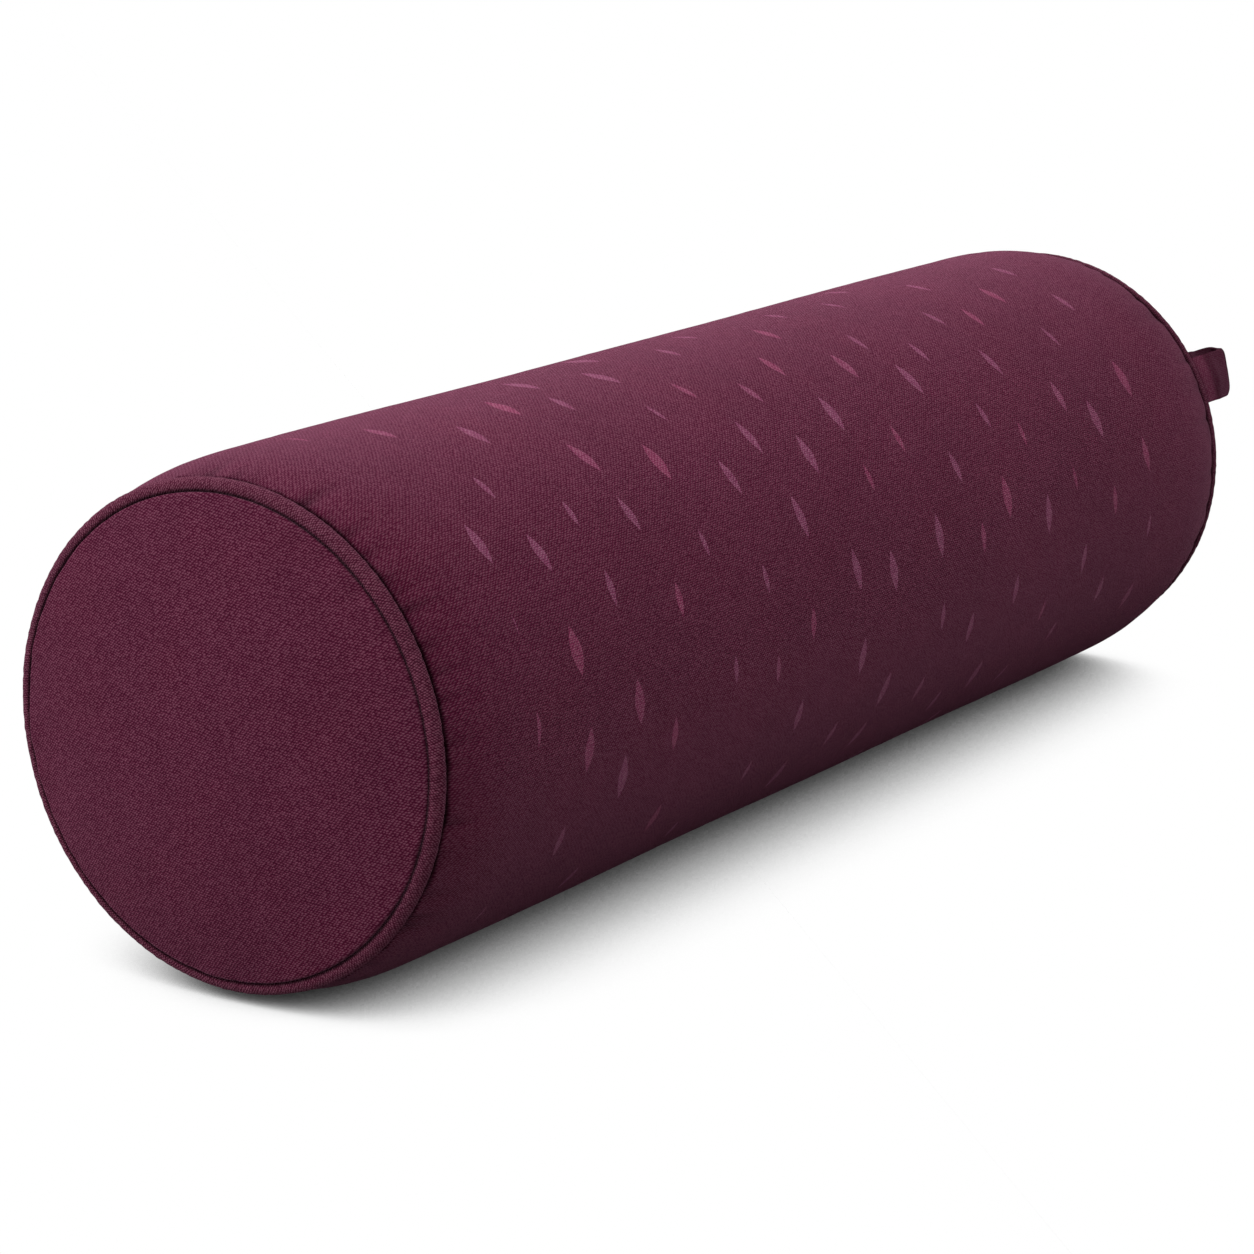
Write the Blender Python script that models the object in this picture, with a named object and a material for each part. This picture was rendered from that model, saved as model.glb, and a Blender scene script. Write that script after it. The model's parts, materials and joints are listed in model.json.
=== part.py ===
# Round yoga bolster: a zipped, piped fabric cover over a lined roll of batting with a foam core.
# Metres, +Z up. The roll's axis runs along X and the loop tab is on the +X end.
# The origin is on the floor, in the middle of the flat strip that the roll rests on.

import math

import bmesh
import bpy
from mathutils import Matrix, Vector

# Driving dimensions of the roll
BARREL_RADIUS = 0.110
SEAM_SPAN = 0.697            # between the middle planes of the two piping rings
SHOULDER_LENGTH = 0.045      # the stretch at each end over which the barrel is drawn in
SHOULDER_DROP = 0.0052       # how far it is drawn in at the seam
SHOULDER_POWER = 2.7
SHOULDER_SHARES = (0.0, 0.4, 0.7, 1.0)   # of that stretch, where the barrel has rings of points
SHOULDER_BEND = 0.0018       # the fold of the cloth into the seam
FLAT_DEPTH = 0.0005          # the roll is pressed flat this deep where it rests
CLEARANCE = 0.0003           # between pieces that touch

# Cloth and filling
COVER_WALL = 0.0012
LINER_WALL = 0.0008
CORE_RADIUS = 0.080
SEAM_ALLOWANCE = 0.007       # cloth turned in behind each end seam
END_RISE = 0.010             # crown of each end panel
END_CROWN_POWER = 2.4
END_FOLD_RADIUS = 0.0013     # fold round the rim of each end panel
END_FOLD_START = math.radians(62.0)

# Piping
PIPING_RADIUS = 0.00305      # of the strip with its cord inside
PIPING_INSET = 0.00035       # how far the piping stays inside the drawn-in end of the barrel
PIPING_STRIP = 0.0005
PIPING_STEPS = 7
CORD_STEPS = 6

# Loop tab
LOOP_ANGLE = math.radians(63.0)    # from the top of the roll towards -Y
LOOP_WIDTH = 0.028
LOOP_LENGTH = 0.033
LOOP_THICKNESS = 0.0016
LOOP_HALF_DEPTH = 0.0066           # from the middle of the loop to its outer face
LOOP_NECK_HALF = 0.0010            # the two plies sewn flat together
LOOP_NECK_LENGTH = 0.0015          # from the seam's groove out to the line that the loop bends on
LOOP_SWELL = 1.3                   # how much the neck has thickened where the plies part
LOOP_PART_SHARE = 0.08             # where they part, as a share of the length
LOOP_PUFF_SHARES = ((0.20, 0.62), (0.34, 0.93), (0.55, 1.0), (0.78, 0.96),
                    (0.91, 0.76), (0.98, 0.40), (1.0, 0.0))   # of the length and of the half-depth
LOOP_TWIST = math.radians(15.0)    # roll of the loose end against the seam

# Zip
ZIP_ANGLE = math.radians(289.0)    # from the top of the roll, turning towards -Y
SLOT_END_MARGIN = 0.0685     # whole cloth between each end of the opening and the end seam
SLOT_SIDE_GAP = 0.0004       # between the slider and each edge of the opening
TAPE_WIDTH = 0.014
TAPE_THICKNESS = 0.0006
TAPE_OVERRUN = 0.010         # tape hidden past each end of the slot
COIL_WIDTH = 0.0026
COIL_THICKNESS = 0.0018
STOP_MARGIN = 0.004          # bare tape between a stop and the end of the slot
TOP_STOP_LENGTH = 0.0025
END_STOP_LENGTH = 0.004
POST_WIDTH = 0.0012          # the slider's wedge, between the two coils
POST_LENGTH = 0.003
SLIDER_LENGTH = 0.011
SLIDER_PLATE = 0.0010
SLIDER_LIP = 0.0008
LUG_LENGTH = 0.0056
LUG_THICKNESS = 0.0010
LUG_WIDTH = 0.0018
LUG_OPENING = 0.0025
PULL_LENGTH = 0.023
PULL_WIDTH = 0.0052
PULL_THICKNESS = 0.0012
PULL_BAR = 0.0013            # the pull's cross bar, inside the lug
PULL_HOLE_RADIUS = 0.0013
PULL_HOLE_STEPS = 12
PULL_CORNER_RADIUS = 0.0015

# The ring of points that every turned layer shares, so that layers stay parallel
RING_STEPS = 32
INNER_RING_STEPS = 16        # inner layers leave out points of the ring

HALF_SPAN = SEAM_SPAN / 2
INNER_STRIDE = RING_STEPS // INNER_RING_STEPS
AXIS_HEIGHT = BARREL_RADIUS - FLAT_DEPTH
PIPING_RING_RADIUS = BARREL_RADIUS - SHOULDER_DROP - PIPING_INSET - PIPING_RADIUS
FLAT_HALF_ANGLE = math.acos(1 - FLAT_DEPTH / BARREL_RADIUS)
RING_STEP = (2 * math.pi - 2 * FLAT_HALF_ANGLE) / RING_STEPS
ZIP_FACET = round((ZIP_ANGLE - math.pi - FLAT_HALF_ANGLE) / RING_STEP - 0.5)   # carries the zip
HEM_RADIUS = PIPING_RING_RADIUS - PIPING_RADIUS - SEAM_ALLOWANCE

# Depths of the zip's layers, measured inwards from the cover's outer face
TAPE_DEPTH = COVER_WALL + CLEARANCE
TAPE_BACK_DEPTH = TAPE_DEPTH + TAPE_THICKNESS
SLIDER_BACK_DEPTH = TAPE_BACK_DEPTH + CLEARANCE + SLIDER_PLATE
LINER_DEPTH = COVER_WALL + CLEARANCE
ZIP_RECESS = SLIDER_BACK_DEPTH + CLEARANCE - LINER_DEPTH
RECESS_FADE = (HEM_RADIUS + 2 * ZIP_RECESS, BARREL_RADIUS - SHOULDER_DROP)


def ring_angle(index):
    """Angle of a ring point from the top of the roll, turning towards -Y."""
    return math.pi + FLAT_HALF_ANGLE + index * RING_STEP


def radial(angle):
    return Vector((0.0, -math.sin(angle), math.cos(angle)))


def srgb(red, green, blue):
    def linear(value):
        value /= 255.0
        return value / 12.92 if value <= 0.04045 else ((value + 0.055) / 1.055) ** 2.4
    return (linear(red), linear(green), linear(blue), 1.0)


CLOTH = dict(colour=srgb(78, 36, 52), roughness=0.90)
PANEL = dict(colour=srgb(84, 40, 57), roughness=0.90)
TRIM = dict(colour=srgb(72, 36, 48), roughness=0.85)
ZIP_CLOTH = dict(colour=srgb(60, 30, 40), roughness=0.80)
ZIP_NYLON = dict(colour=srgb(66, 32, 44), roughness=0.45)
ZIP_METAL = dict(colour=srgb(120, 112, 110), roughness=0.35, metallic=1.0)
COTTON = dict(colour=srgb(226, 220, 206), roughness=0.95)
BATTING = dict(colour=srgb(236, 233, 224), roughness=1.00)
FOAM = dict(colour=srgb(232, 214, 150), roughness=0.95)
CORD = dict(colour=srgb(238, 236, 230), roughness=0.90)


def make_material(name, colour, roughness, metallic=0.0):
    material = bpy.data.materials.new(name)
    material.use_nodes = True
    shader = material.node_tree.nodes["Principled BSDF"]
    shader.inputs["Base Color"].default_value = colour
    shader.inputs["Roughness"].default_value = roughness
    shader.inputs["Metallic"].default_value = metallic
    material.diffuse_color = colour
    return material


def add_object(name, bm, finish, parent=None, location=(0, 0, 0), rotation=(0, 0, 0)):
    """Turns a bmesh into a named object with its own material."""
    bmesh.ops.recalc_face_normals(bm, faces=bm.faces)
    mesh = bpy.data.meshes.new(name)
    bm.to_mesh(mesh)
    bm.free()
    mesh.shade_smooth()
    mesh.set_sharp_from_angle(angle=math.radians(35))
    obj = bpy.data.objects.new(name, mesh)
    bpy.context.collection.objects.link(obj)
    if finish:
        mesh.materials.append(make_material(name, **finish))
    obj.parent = parent
    obj.location = location
    obj.rotation_euler = rotation
    return obj


def add_cutter(name, bm, parent=None, location=(0, 0, 0)):
    cutter = add_object(name, bm, None, parent, location)
    cutter.hide_render = True
    cutter.display_type = "WIRE"
    return cutter


def apply_shape(target, tool, operation):
    modifier = target.modifiers.new(tool.name, "BOOLEAN")
    modifier.operation = operation
    modifier.solver = "EXACT"
    modifier.object = tool


def offset_path(path, distance):
    """Shifts an open path of (x, radius) points to its left, with mitred corners."""
    points = [Vector(point) for point in path]
    directions = [(b - a).normalized() for a, b in zip(points, points[1:])]
    shifted = []
    for index, point in enumerate(points):
        before = directions[max(index - 1, 0)]
        after = directions[min(index, len(directions) - 1)]
        normal = Vector((-before.y - after.y, before.x + after.x)).normalized()
        mitre = normal.dot(Vector((-after.y, after.x)))
        shifted.append(tuple(point + normal * distance / mitre))
    return shifted


def sheet_outline(path, thickness):
    """Closed outline of a sheet of cloth whose middle follows an open path."""
    return offset_path(path, thickness / 2) + offset_path(path, -thickness / 2)[::-1]


def mirrored(path):
    return [(-x, radius) for x, radius in reversed(path)]


def recess_fade(radius):
    """Share of the recess under the zip that a point takes: none near the end seams."""
    low, high = RECESS_FADE
    return min(max((radius - low) / (high - low), 0.0), 1.0)


def turned(outline, stride=1, recess=0.0):
    """Turns a closed outline of (x, radius) points about X over the shared ring."""
    bm = bmesh.new()
    indices = range(0, RING_STEPS + 1, stride)
    loops = []
    for x, radius in outline:
        if radius < 1e-6:
            loops.append([bm.verts.new((x, 0, 0))])
            continue
        fade = recess_fade(radius)
        loop = []
        for index in indices:
            under_zip = index in (ZIP_FACET, ZIP_FACET + 1)
            reach = radius - (recess * fade if under_zip else 0.0)
            loop.append(bm.verts.new(Vector((x, 0, 0)) + radial(ring_angle(index)) * reach))
        loops.append(loop)
    count = len(indices)
    for here, there in zip(loops, loops[1:] + loops[:1]):
        if len(here) == 1 and len(there) == 1:
            continue
        for step in range(count):
            following = (step + 1) % count
            corners = [here[step % len(here)], here[following % len(here)],
                       there[following % len(there)], there[step % len(there)]]
            if len(here) == 1:
                corners = [here[0], there[following], there[step]]
            elif len(there) == 1:
                corners = [here[step], here[following], there[0]]
            bm.faces.new(corners)
    return bm


def prism(section, start, end):
    """Extrudes a section of (y, z) points along X."""
    bm = bmesh.new()
    near = [bm.verts.new((start, y, z)) for y, z in section]
    face = bm.faces.new(near)
    grown = bmesh.ops.extrude_face_region(bm, geom=[face])
    moved = [item for item in grown["geom"] if isinstance(item, bmesh.types.BMVert)]
    bmesh.ops.translate(bm, verts=moved, vec=(end - start, 0, 0))
    return bm


def block(low, high):
    corners = [(low[1], low[2]), (high[1], low[2]), (high[1], high[2]), (low[1], high[2])]
    return prism(corners, low[0], high[0])


# Paths of the sewn layers, as (x, radius) points on the +X half of the roll

def barrel_half_path():
    middle = COVER_WALL / 2
    seam_x = HALF_SPAN - PIPING_RADIUS - CLEARANCE - middle
    start_x = seam_x - SHOULDER_LENGTH
    drawn = []
    for share in SHOULDER_SHARES:
        x = start_x + (SHOULDER_LENGTH - SHOULDER_BEND) * share
        drawn.append((x, BARREL_RADIUS - middle - SHOULDER_DROP * share ** SHOULDER_POWER))
    fold_radius = drawn[-1][1] - SHOULDER_BEND
    return drawn + [(seam_x, fold_radius), (seam_x, HEM_RADIUS)]


def liner_half_path():
    inset = COVER_WALL / 2 + CLEARANCE + LINER_WALL / 2
    path = offset_path(barrel_half_path(), -inset)
    return path[:-1] + [(path[-1][0], LINER_NECK_RADIUS - LINER_WALL)]


def end_crown(radius):
    """Middle of an end panel's cloth at a radius, as a distance past the piping's plane."""
    rise = END_RISE * (1 - (radius / END_RIM_RADIUS) ** END_CROWN_POWER)
    return HALF_SPAN + END_RIM_X + rise


def end_panel_path():
    piping_back = PIPING_STRIP + CLEARANCE / 2
    hem_x = HALF_SPAN + piping_back + CLEARANCE + COVER_WALL / 2
    fold_x = HALF_SPAN + END_RIM_X - END_FOLD_RADIUS
    lean = math.asin((hem_x - HALF_SPAN) / END_HUG_RADIUS)
    path = [(hem_x, HEM_RADIUS), (hem_x, PIPING_RING_RADIUS - END_HUG_RADIUS * math.cos(lean))]
    for step in range(END_FOLD_STEPS):
        angle = math.pi * (1 - step / END_FOLD_STEPS)
        path.append((fold_x + END_FOLD_RADIUS * math.cos(angle),
                     END_RIM_RADIUS + END_FOLD_RADIUS * math.sin(angle)))
    for share in END_CROWN_SHARES:
        radius = END_RIM_RADIUS * share
        path.append((end_crown(radius), radius))
    return path


def crown_points(inset, outermost):
    """Points of the crown, moved in by an inset and kept within a radius."""
    path = [(end_crown(END_RIM_RADIUS * share), END_RIM_RADIUS * share) for share in END_CROWN_SHARES]
    moved = offset_path(path, -inset)
    kept = [point for point in moved if point[1] < outermost]
    return kept[:-1] + [(kept[-1][0], 0.0)]


END_HUG_RADIUS = PIPING_RADIUS + CLEARANCE + COVER_WALL / 2
END_RIM_RADIUS = PIPING_RING_RADIUS - END_HUG_RADIUS * math.cos(END_FOLD_START)
END_RIM_X = END_HUG_RADIUS * math.sin(END_FOLD_START) + 2 * END_FOLD_RADIUS
END_CROWN_SHARES = (1.0, 0.9, 0.72, 0.45, 0.0)     # of the rim's radius, where the crown has points
END_FOLD_STEPS = 3
LINER_NECK_RADIUS = HEM_RADIUS - CLEARANCE
PAD_RADIUS = LINER_NECK_RADIUS - LINER_WALL - CLEARANCE
NECK_BEND = 0.004            # how far the liner's end disc turns over at its rim


def make_barrel(place):
    half = barrel_half_path()
    outline = sheet_outline(mirrored(half) + half, COVER_WALL)
    return add_object("cover_barrel", turned(outline), CLOTH, place)


def make_end(name, side, path, wall, finish, place, stride=1):
    outline = [(side * x, max(radius, 0.0)) for x, radius in sheet_outline(path, wall)]
    return add_object(name, turned(outline, stride), finish, place)


def piping_path():
    spread = (PIPING_STRIP + CLEARANCE) / 2
    reach = PIPING_RADIUS - PIPING_STRIP / 2
    opening = math.asin(spread / reach)
    path = [(-spread, HEM_RADIUS)]
    sweep = 2 * math.pi - 2 * opening
    for step in range(PIPING_STEPS + 1):
        angle = -math.pi / 2 - opening - sweep * step / PIPING_STEPS
        path.append((reach * math.cos(angle), PIPING_RING_RADIUS + reach * math.sin(angle)))
    return path + [(spread, HEM_RADIUS)]


def make_piping(name, side, place):
    outline = [(x + side * HALF_SPAN, radius)
               for x, radius in sheet_outline(piping_path(), PIPING_STRIP)]
    return add_object(name, turned(outline), TRIM, place)


def make_piping_cord(name, side, place):
    bore = (PIPING_RADIUS - PIPING_STRIP) * math.cos(math.pi / PIPING_STEPS)
    cord_radius = bore - CLEARANCE
    outline = []
    for step in range(CORD_STEPS):
        angle = 2 * math.pi * step / CORD_STEPS
        outline.append((side * HALF_SPAN + cord_radius * math.cos(angle),
                        PIPING_RING_RADIUS + cord_radius * math.sin(angle)))
    return add_object(name, turned(outline), CORD, place)


def make_liner(place):
    half = liner_half_path()
    outline = sheet_outline(mirrored(half) + half, LINER_WALL)
    add_object("liner_barrel", turned(outline, recess=ZIP_RECESS), COTTON, place)
    neck_x = half[-1][0] + LINER_WALL + CLEARANCE
    neck_radius = LINER_NECK_RADIUS - LINER_WALL / 2
    crown = crown_points(COVER_WALL / 2 + CLEARANCE + LINER_WALL / 2, neck_radius - NECK_BEND / 2)
    turn_x = end_crown(neck_radius) - NECK_BEND
    path = [(neck_x, neck_radius), (turn_x, neck_radius)] + crown
    for name, side in (("liner_end_near", -1), ("liner_end_far", 1)):
        make_end(name, side, path, LINER_WALL, COTTON, place, INNER_STRIDE)


def filling_end_x():
    return liner_half_path()[-1][0] - LINER_WALL / 2 - CLEARANCE


def make_filling(place):
    end_x = filling_end_x()
    shell = offset_path(liner_half_path(), -(LINER_WALL / 2 + CLEARANCE))[:-1]
    half = shell + [(end_x, CORE_RADIUS + CLEARANCE)]
    wrap = mirrored(half) + half
    add_object("batting_wrap", turned(wrap, INNER_STRIDE, ZIP_RECESS), BATTING, place)

    core = [(-end_x, 0.0), (-end_x, CORE_RADIUS), (end_x, CORE_RADIUS), (end_x, 0.0)]
    add_object("foam_core", turned(core, INNER_STRIDE), FOAM, place)

    inset = COVER_WALL / 2 + LINER_WALL + 2 * CLEARANCE
    crown = crown_points(inset, PAD_RADIUS - NECK_BEND / 2)
    turn_x = end_crown(PAD_RADIUS) - NECK_BEND - LINER_WALL
    start_x = end_x + CLEARANCE
    pad = [(start_x, 0.0), (start_x, PAD_RADIUS), (turn_x, PAD_RADIUS)] + crown
    for name, side in (("batting_end_near", -1), ("batting_end_far", 1)):
        outline = [(side * x, radius) for x, radius in pad]
        add_object(name, turned(outline, INNER_STRIDE), BATTING, place)


# The loop tab, in its own frame: x along the roll, y outwards, z along the rim

def loop_outline(inset):
    """Half-depth of the loop along its length, from the sewn neck to the rounded tip."""
    path = [(-LOOP_NECK_LENGTH, LOOP_NECK_HALF),
            (LOOP_PART_SHARE * LOOP_LENGTH, LOOP_NECK_HALF * LOOP_SWELL)]
    path += [(along * LOOP_LENGTH, deep * LOOP_HALF_DEPTH) for along, deep in LOOP_PUFF_SHARES]
    if not inset:
        return path
    return [(x, y) for x, y in offset_path(path, -inset) if y > CLEARANCE] + \
        [(LOOP_LENGTH - inset, 0.0)]


def twist_at(x):
    share = min(max(x / LOOP_LENGTH, 0.0), 1.0)
    return LOOP_TWIST * share * share * (3 - 2 * share)


def loop_point(x, y, z):
    """Places a point of the flat loop: its neck follows the rim, its tip is rolled."""
    loose = min(max(x / LOOP_LENGTH, 0.0), 1.0)
    rim_sag = LOOP_PIVOT_RADIUS - math.sqrt(LOOP_PIVOT_RADIUS ** 2 - z * z)
    y -= rim_sag * (1 - loose)
    return Matrix.Rotation(twist_at(x), 3, "X") @ Vector((x, y, z))


def make_loop(place):
    outer_half = loop_outline(0.0)
    hole_half = loop_outline(LOOP_THICKNESS)
    hole_root = (hole_half[0][0] - LOOP_THICKNESS, 0.0)
    outer = outer_half + [(x, -y) for x, y in reversed(outer_half[:-1])]
    hole = [hole_root] + hole_half + [(x, -y) for x, y in reversed(hole_half[:-1])]
    bm = bmesh.new()
    stations = (-LOOP_WIDTH / 2, 0.0, LOOP_WIDTH / 2)
    walls = {}
    for label, ring in (("outer", outer), ("hole", hole)):
        walls[label] = [[bm.verts.new(loop_point(x, y, z)) for x, y in ring] for z in stations]
        for lower, upper in zip(walls[label], walls[label][1:]):
            for index in range(len(ring)):
                after = (index + 1) % len(ring)
                bm.faces.new((lower[index], lower[after], upper[after], upper[index]))
    for station in (0, -1):
        rims = []
        for label in ("outer", "hole"):
            ring = walls[label][station]
            for index in range(len(ring)):
                rims.append(bm.edges.get((ring[index], ring[(index + 1) % len(ring)])))
        bmesh.ops.triangle_fill(bm, edges=rims, use_beauty=True)
    outward = radial(LOOP_ANGLE)
    along = Vector((1, 0, 0))
    turn = Matrix((along, outward, along.cross(outward))).transposed()
    centre = Vector((LOOP_PIVOT_X, 0, 0)) + outward * LOOP_PIVOT_RADIUS
    return add_object("loop_tab", bm, TRIM, place, centre, turn.to_euler())


LOOP_PIVOT_X = HALF_SPAN + END_RIM_X - END_FOLD_RADIUS + LOOP_NECK_LENGTH
LOOP_PIVOT_RADIUS = (END_RIM_RADIUS + END_FOLD_RADIUS + COVER_WALL / 2
                     + LOOP_NECK_HALF * LOOP_SWELL + 2 * CLEARANCE)


# The zip, in its own frame: x along the roll, y down the cover's face, z outwards

HALF_STEP = RING_STEP / 2
FACET_HALF_WIDTH = BARREL_RADIUS * math.sin(HALF_STEP)
COIL_GAP = POST_WIDTH / 2 + CLEARANCE
COIL_OUTER = COIL_GAP + COIL_WIDTH
COIL_BASE = -TAPE_DEPTH + CLEARANCE
COIL_TOP = COIL_BASE + COIL_THICKNESS
SLIDER_HALF_WIDTH = COIL_OUTER + CLEARANCE + SLIDER_LIP
SLOT_LENGTH = SEAM_SPAN - 2 * SLOT_END_MARGIN
SLOT_WIDTH = 2 * (SLIDER_HALF_WIDTH + SLOT_SIDE_GAP)
TOP_STOP_X = SLOT_LENGTH / 2 - STOP_MARGIN - TOP_STOP_LENGTH
END_STOP_X = -SLOT_LENGTH / 2 + STOP_MARGIN + END_STOP_LENGTH
SLIDER_REST_X = TOP_STOP_X - CLEARANCE - SLIDER_LENGTH / 2
PLATE_BASE = COIL_TOP + CLEARANCE
PLATE_TOP = PLATE_BASE + SLIDER_PLATE
PULL_AXIS_Z = PLATE_TOP + LUG_OPENING / 2


def under_skin(across, depth):
    """A point a distance across the skin from the zip's line, and a depth under it."""
    corner = FACET_HALF_WIDTH - depth * math.sin(HALF_STEP)
    base = -depth * math.cos(HALF_STEP)
    if across <= corner:
        return (across, base)
    past = across - corner
    return (corner + past * math.cos(RING_STEP), base - past * math.sin(RING_STEP))


def make_tapes(place):
    edge = COIL_GAP + TAPE_WIDTH
    stations = [COIL_GAP, edge]
    if edge > FACET_HALF_WIDTH:
        stations.insert(1, FACET_HALF_WIDTH)
    front = [under_skin(across, TAPE_DEPTH) for across in stations]
    back = [under_skin(across, TAPE_BACK_DEPTH) for across in stations]
    reach = SLOT_LENGTH / 2 + TAPE_OVERRUN
    for name, side in (("zip_tape_upper", -1), ("zip_tape_lower", 1)):
        section = [(side * y, z) for y, z in front + back[::-1]]
        add_object(name, prism(section, -reach, reach), ZIP_CLOTH, place)


def make_coils(place):
    chamfer = COIL_THICKNESS / 3
    start = END_STOP_X + CLEARANCE
    end = TOP_STOP_X - CLEARANCE
    for name, side in (("zip_coil_upper", -1), ("zip_coil_lower", 1)):
        section = [(COIL_GAP, COIL_BASE), (COIL_OUTER, COIL_BASE), (COIL_OUTER, COIL_TOP - chamfer),
                   (COIL_OUTER - chamfer, COIL_TOP), (COIL_GAP, COIL_TOP)]
        add_object(name, prism([(side * y, z) for y, z in section], start, end), ZIP_NYLON, place)


def make_stops(place):
    for name, side in (("zip_stop_upper", -1), ("zip_stop_lower", 1)):
        edges = sorted((side * COIL_GAP, side * COIL_OUTER))
        shape = block((TOP_STOP_X, edges[0], COIL_BASE),
                      (TOP_STOP_X + TOP_STOP_LENGTH, edges[1], COIL_TOP))
        add_object(name, shape, ZIP_METAL, place)
    shape = block((END_STOP_X - END_STOP_LENGTH, -COIL_OUTER, COIL_BASE),
                  (END_STOP_X, COIL_OUTER, COIL_TOP))
    add_object("zip_stop_end", shape, ZIP_METAL, place)


def make_slider(place):
    """The slider: a top plate with side lips, a back plate, a wedge between, and a lug."""
    half = SLIDER_HALF_WIDTH
    inner = half - SLIDER_LIP
    section = [(-half, PLATE_TOP), (half, PLATE_TOP), (half, COIL_BASE), (inner, COIL_BASE),
               (inner, PLATE_BASE), (-inner, PLATE_BASE), (-inner, COIL_BASE), (-half, COIL_BASE)]
    reach = SLIDER_LENGTH / 2
    slider = add_object("zip_slider", prism(section, -reach, reach), ZIP_METAL, place,
                        (SLIDER_REST_X, 0, 0))
    back_top = -TAPE_BACK_DEPTH - CLEARANCE
    overlap = SLIDER_PLATE / 2
    back = block((-reach, -half, back_top - SLIDER_PLATE), (reach, half, back_top))
    post = block((-POST_LENGTH / 2, -POST_WIDTH / 2, back_top - overlap),
                 (POST_LENGTH / 2, POST_WIDTH / 2, PLATE_BASE + overlap))
    lug_half = LUG_LENGTH / 2
    arch_top = PLATE_TOP + LUG_OPENING + LUG_THICKNESS
    leg = lug_half - LUG_THICKNESS
    arch = [(-lug_half, PLATE_TOP - overlap), (-lug_half, arch_top), (lug_half, arch_top),
            (lug_half, PLATE_TOP - overlap), (leg, PLATE_TOP - overlap), (leg, PLATE_TOP + LUG_OPENING),
            (-leg, PLATE_TOP + LUG_OPENING), (-leg, PLATE_TOP - overlap)]
    lug = prism(arch, -LUG_WIDTH / 2, LUG_WIDTH / 2)
    bmesh.ops.rotate(lug, verts=lug.verts, matrix=Matrix.Rotation(-math.pi / 2, 3, "Z"))
    for name, shape in (("slider_post", post), ("slider_back", back), ("slider_lug", lug)):
        apply_shape(slider, add_cutter(name, shape, place, (SLIDER_REST_X, 0, 0)), "UNION")


def make_pull(place):
    """The pull: a plate with a window that hangs in the lug and a hole at its free end."""
    thick = PULL_THICKNESS / 2
    bar = PULL_BAR / 2
    lug_corner = math.hypot(LUG_LENGTH / 2, LUG_OPENING / 2 + LUG_THICKNESS)
    window_end = lug_corner + CLEARANCE
    window_half = LUG_WIDTH / 2 + CLEARANCE
    pull_tilt = math.atan((PULL_AXIS_Z - thick - COIL_TOP - CLEARANCE) / PULL_LENGTH)
    shape = block((-PULL_LENGTH, -PULL_WIDTH / 2, -thick), (bar, PULL_WIDTH / 2, thick))
    corners = [edge for edge in shape.edges
               if abs(edge.verts[0].co.z - edge.verts[1].co.z) > thick
               and edge.verts[0].co.x < -window_end]
    bmesh.ops.bevel(shape, geom=corners, offset=PULL_CORNER_RADIUS, segments=3, affect="EDGES")
    pull = add_object("zip_pull", shape, ZIP_METAL, place, (SLIDER_REST_X, 0, PULL_AXIS_Z),
                      (0, -pull_tilt, 0))
    through = PULL_THICKNESS
    window = block((-window_end, -window_half, -through), (-bar, window_half, through))
    hole = bmesh.new()
    bmesh.ops.create_cone(hole, cap_ends=True, segments=PULL_HOLE_STEPS, radius1=PULL_HOLE_RADIUS,
                          radius2=PULL_HOLE_RADIUS, depth=2 * through)
    bmesh.ops.translate(hole, verts=hole.verts, vec=(-PULL_LENGTH + PULL_WIDTH / 2, 0, 0))
    for name, tool in (("pull_window", window), ("pull_hole", hole)):
        apply_shape(pull, add_cutter(name, tool, pull), "DIFFERENCE")


def make_zip(place, barrel):
    facet_angle = (ring_angle(ZIP_FACET) + ring_angle(ZIP_FACET + 1)) / 2
    outward = radial(facet_angle)
    along = Vector((1, 0, 0))
    line = bpy.data.objects.new("zip_line", None)
    bpy.context.collection.objects.link(line)
    line.parent = place
    line.location = outward * BARREL_RADIUS * math.cos(HALF_STEP)
    line.rotation_euler = Matrix((along, outward.cross(along), outward)).transposed().to_euler()
    through = 2 * COVER_WALL
    slot = block((-SLOT_LENGTH / 2, -SLOT_WIDTH / 2, -through),
                 (SLOT_LENGTH / 2, SLOT_WIDTH / 2, through))
    apply_shape(barrel, add_cutter("slot_cutter", slot, line), "DIFFERENCE")
    make_tapes(line)
    make_coils(line)
    make_stops(line)
    make_slider(line)
    make_pull(line)


def build():
    for obj in list(bpy.data.objects):
        bpy.data.objects.remove(obj)
    axis = bpy.data.objects.new("roll_axis", None)
    bpy.context.collection.objects.link(axis)
    axis.location = (0, 0, AXIS_HEIGHT)
    barrel = make_barrel(axis)
    panel = end_panel_path()
    make_end("cover_end_near", -1, panel, COVER_WALL, PANEL, axis)
    make_end("cover_end_far", 1, panel, COVER_WALL, PANEL, axis)
    make_piping("piping_near", -1, axis)
    make_piping("piping_far", 1, axis)
    make_piping_cord("piping_cord_near", -1, axis)
    make_piping_cord("piping_cord_far", 1, axis)
    make_liner(axis)
    make_filling(axis)
    make_loop(axis)
    make_zip(axis, barrel)


build()
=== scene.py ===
# Round yoga bolster: the looks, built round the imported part.
# Metres, +Z up. The roll's axis runs along X, and the loop tab is on the +X end.
# An angle round the roll runs from its top towards -Y, the side that faces the camera.

import json
import math

import bpy
import numpy as np
from mathutils import Matrix, Vector


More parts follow.
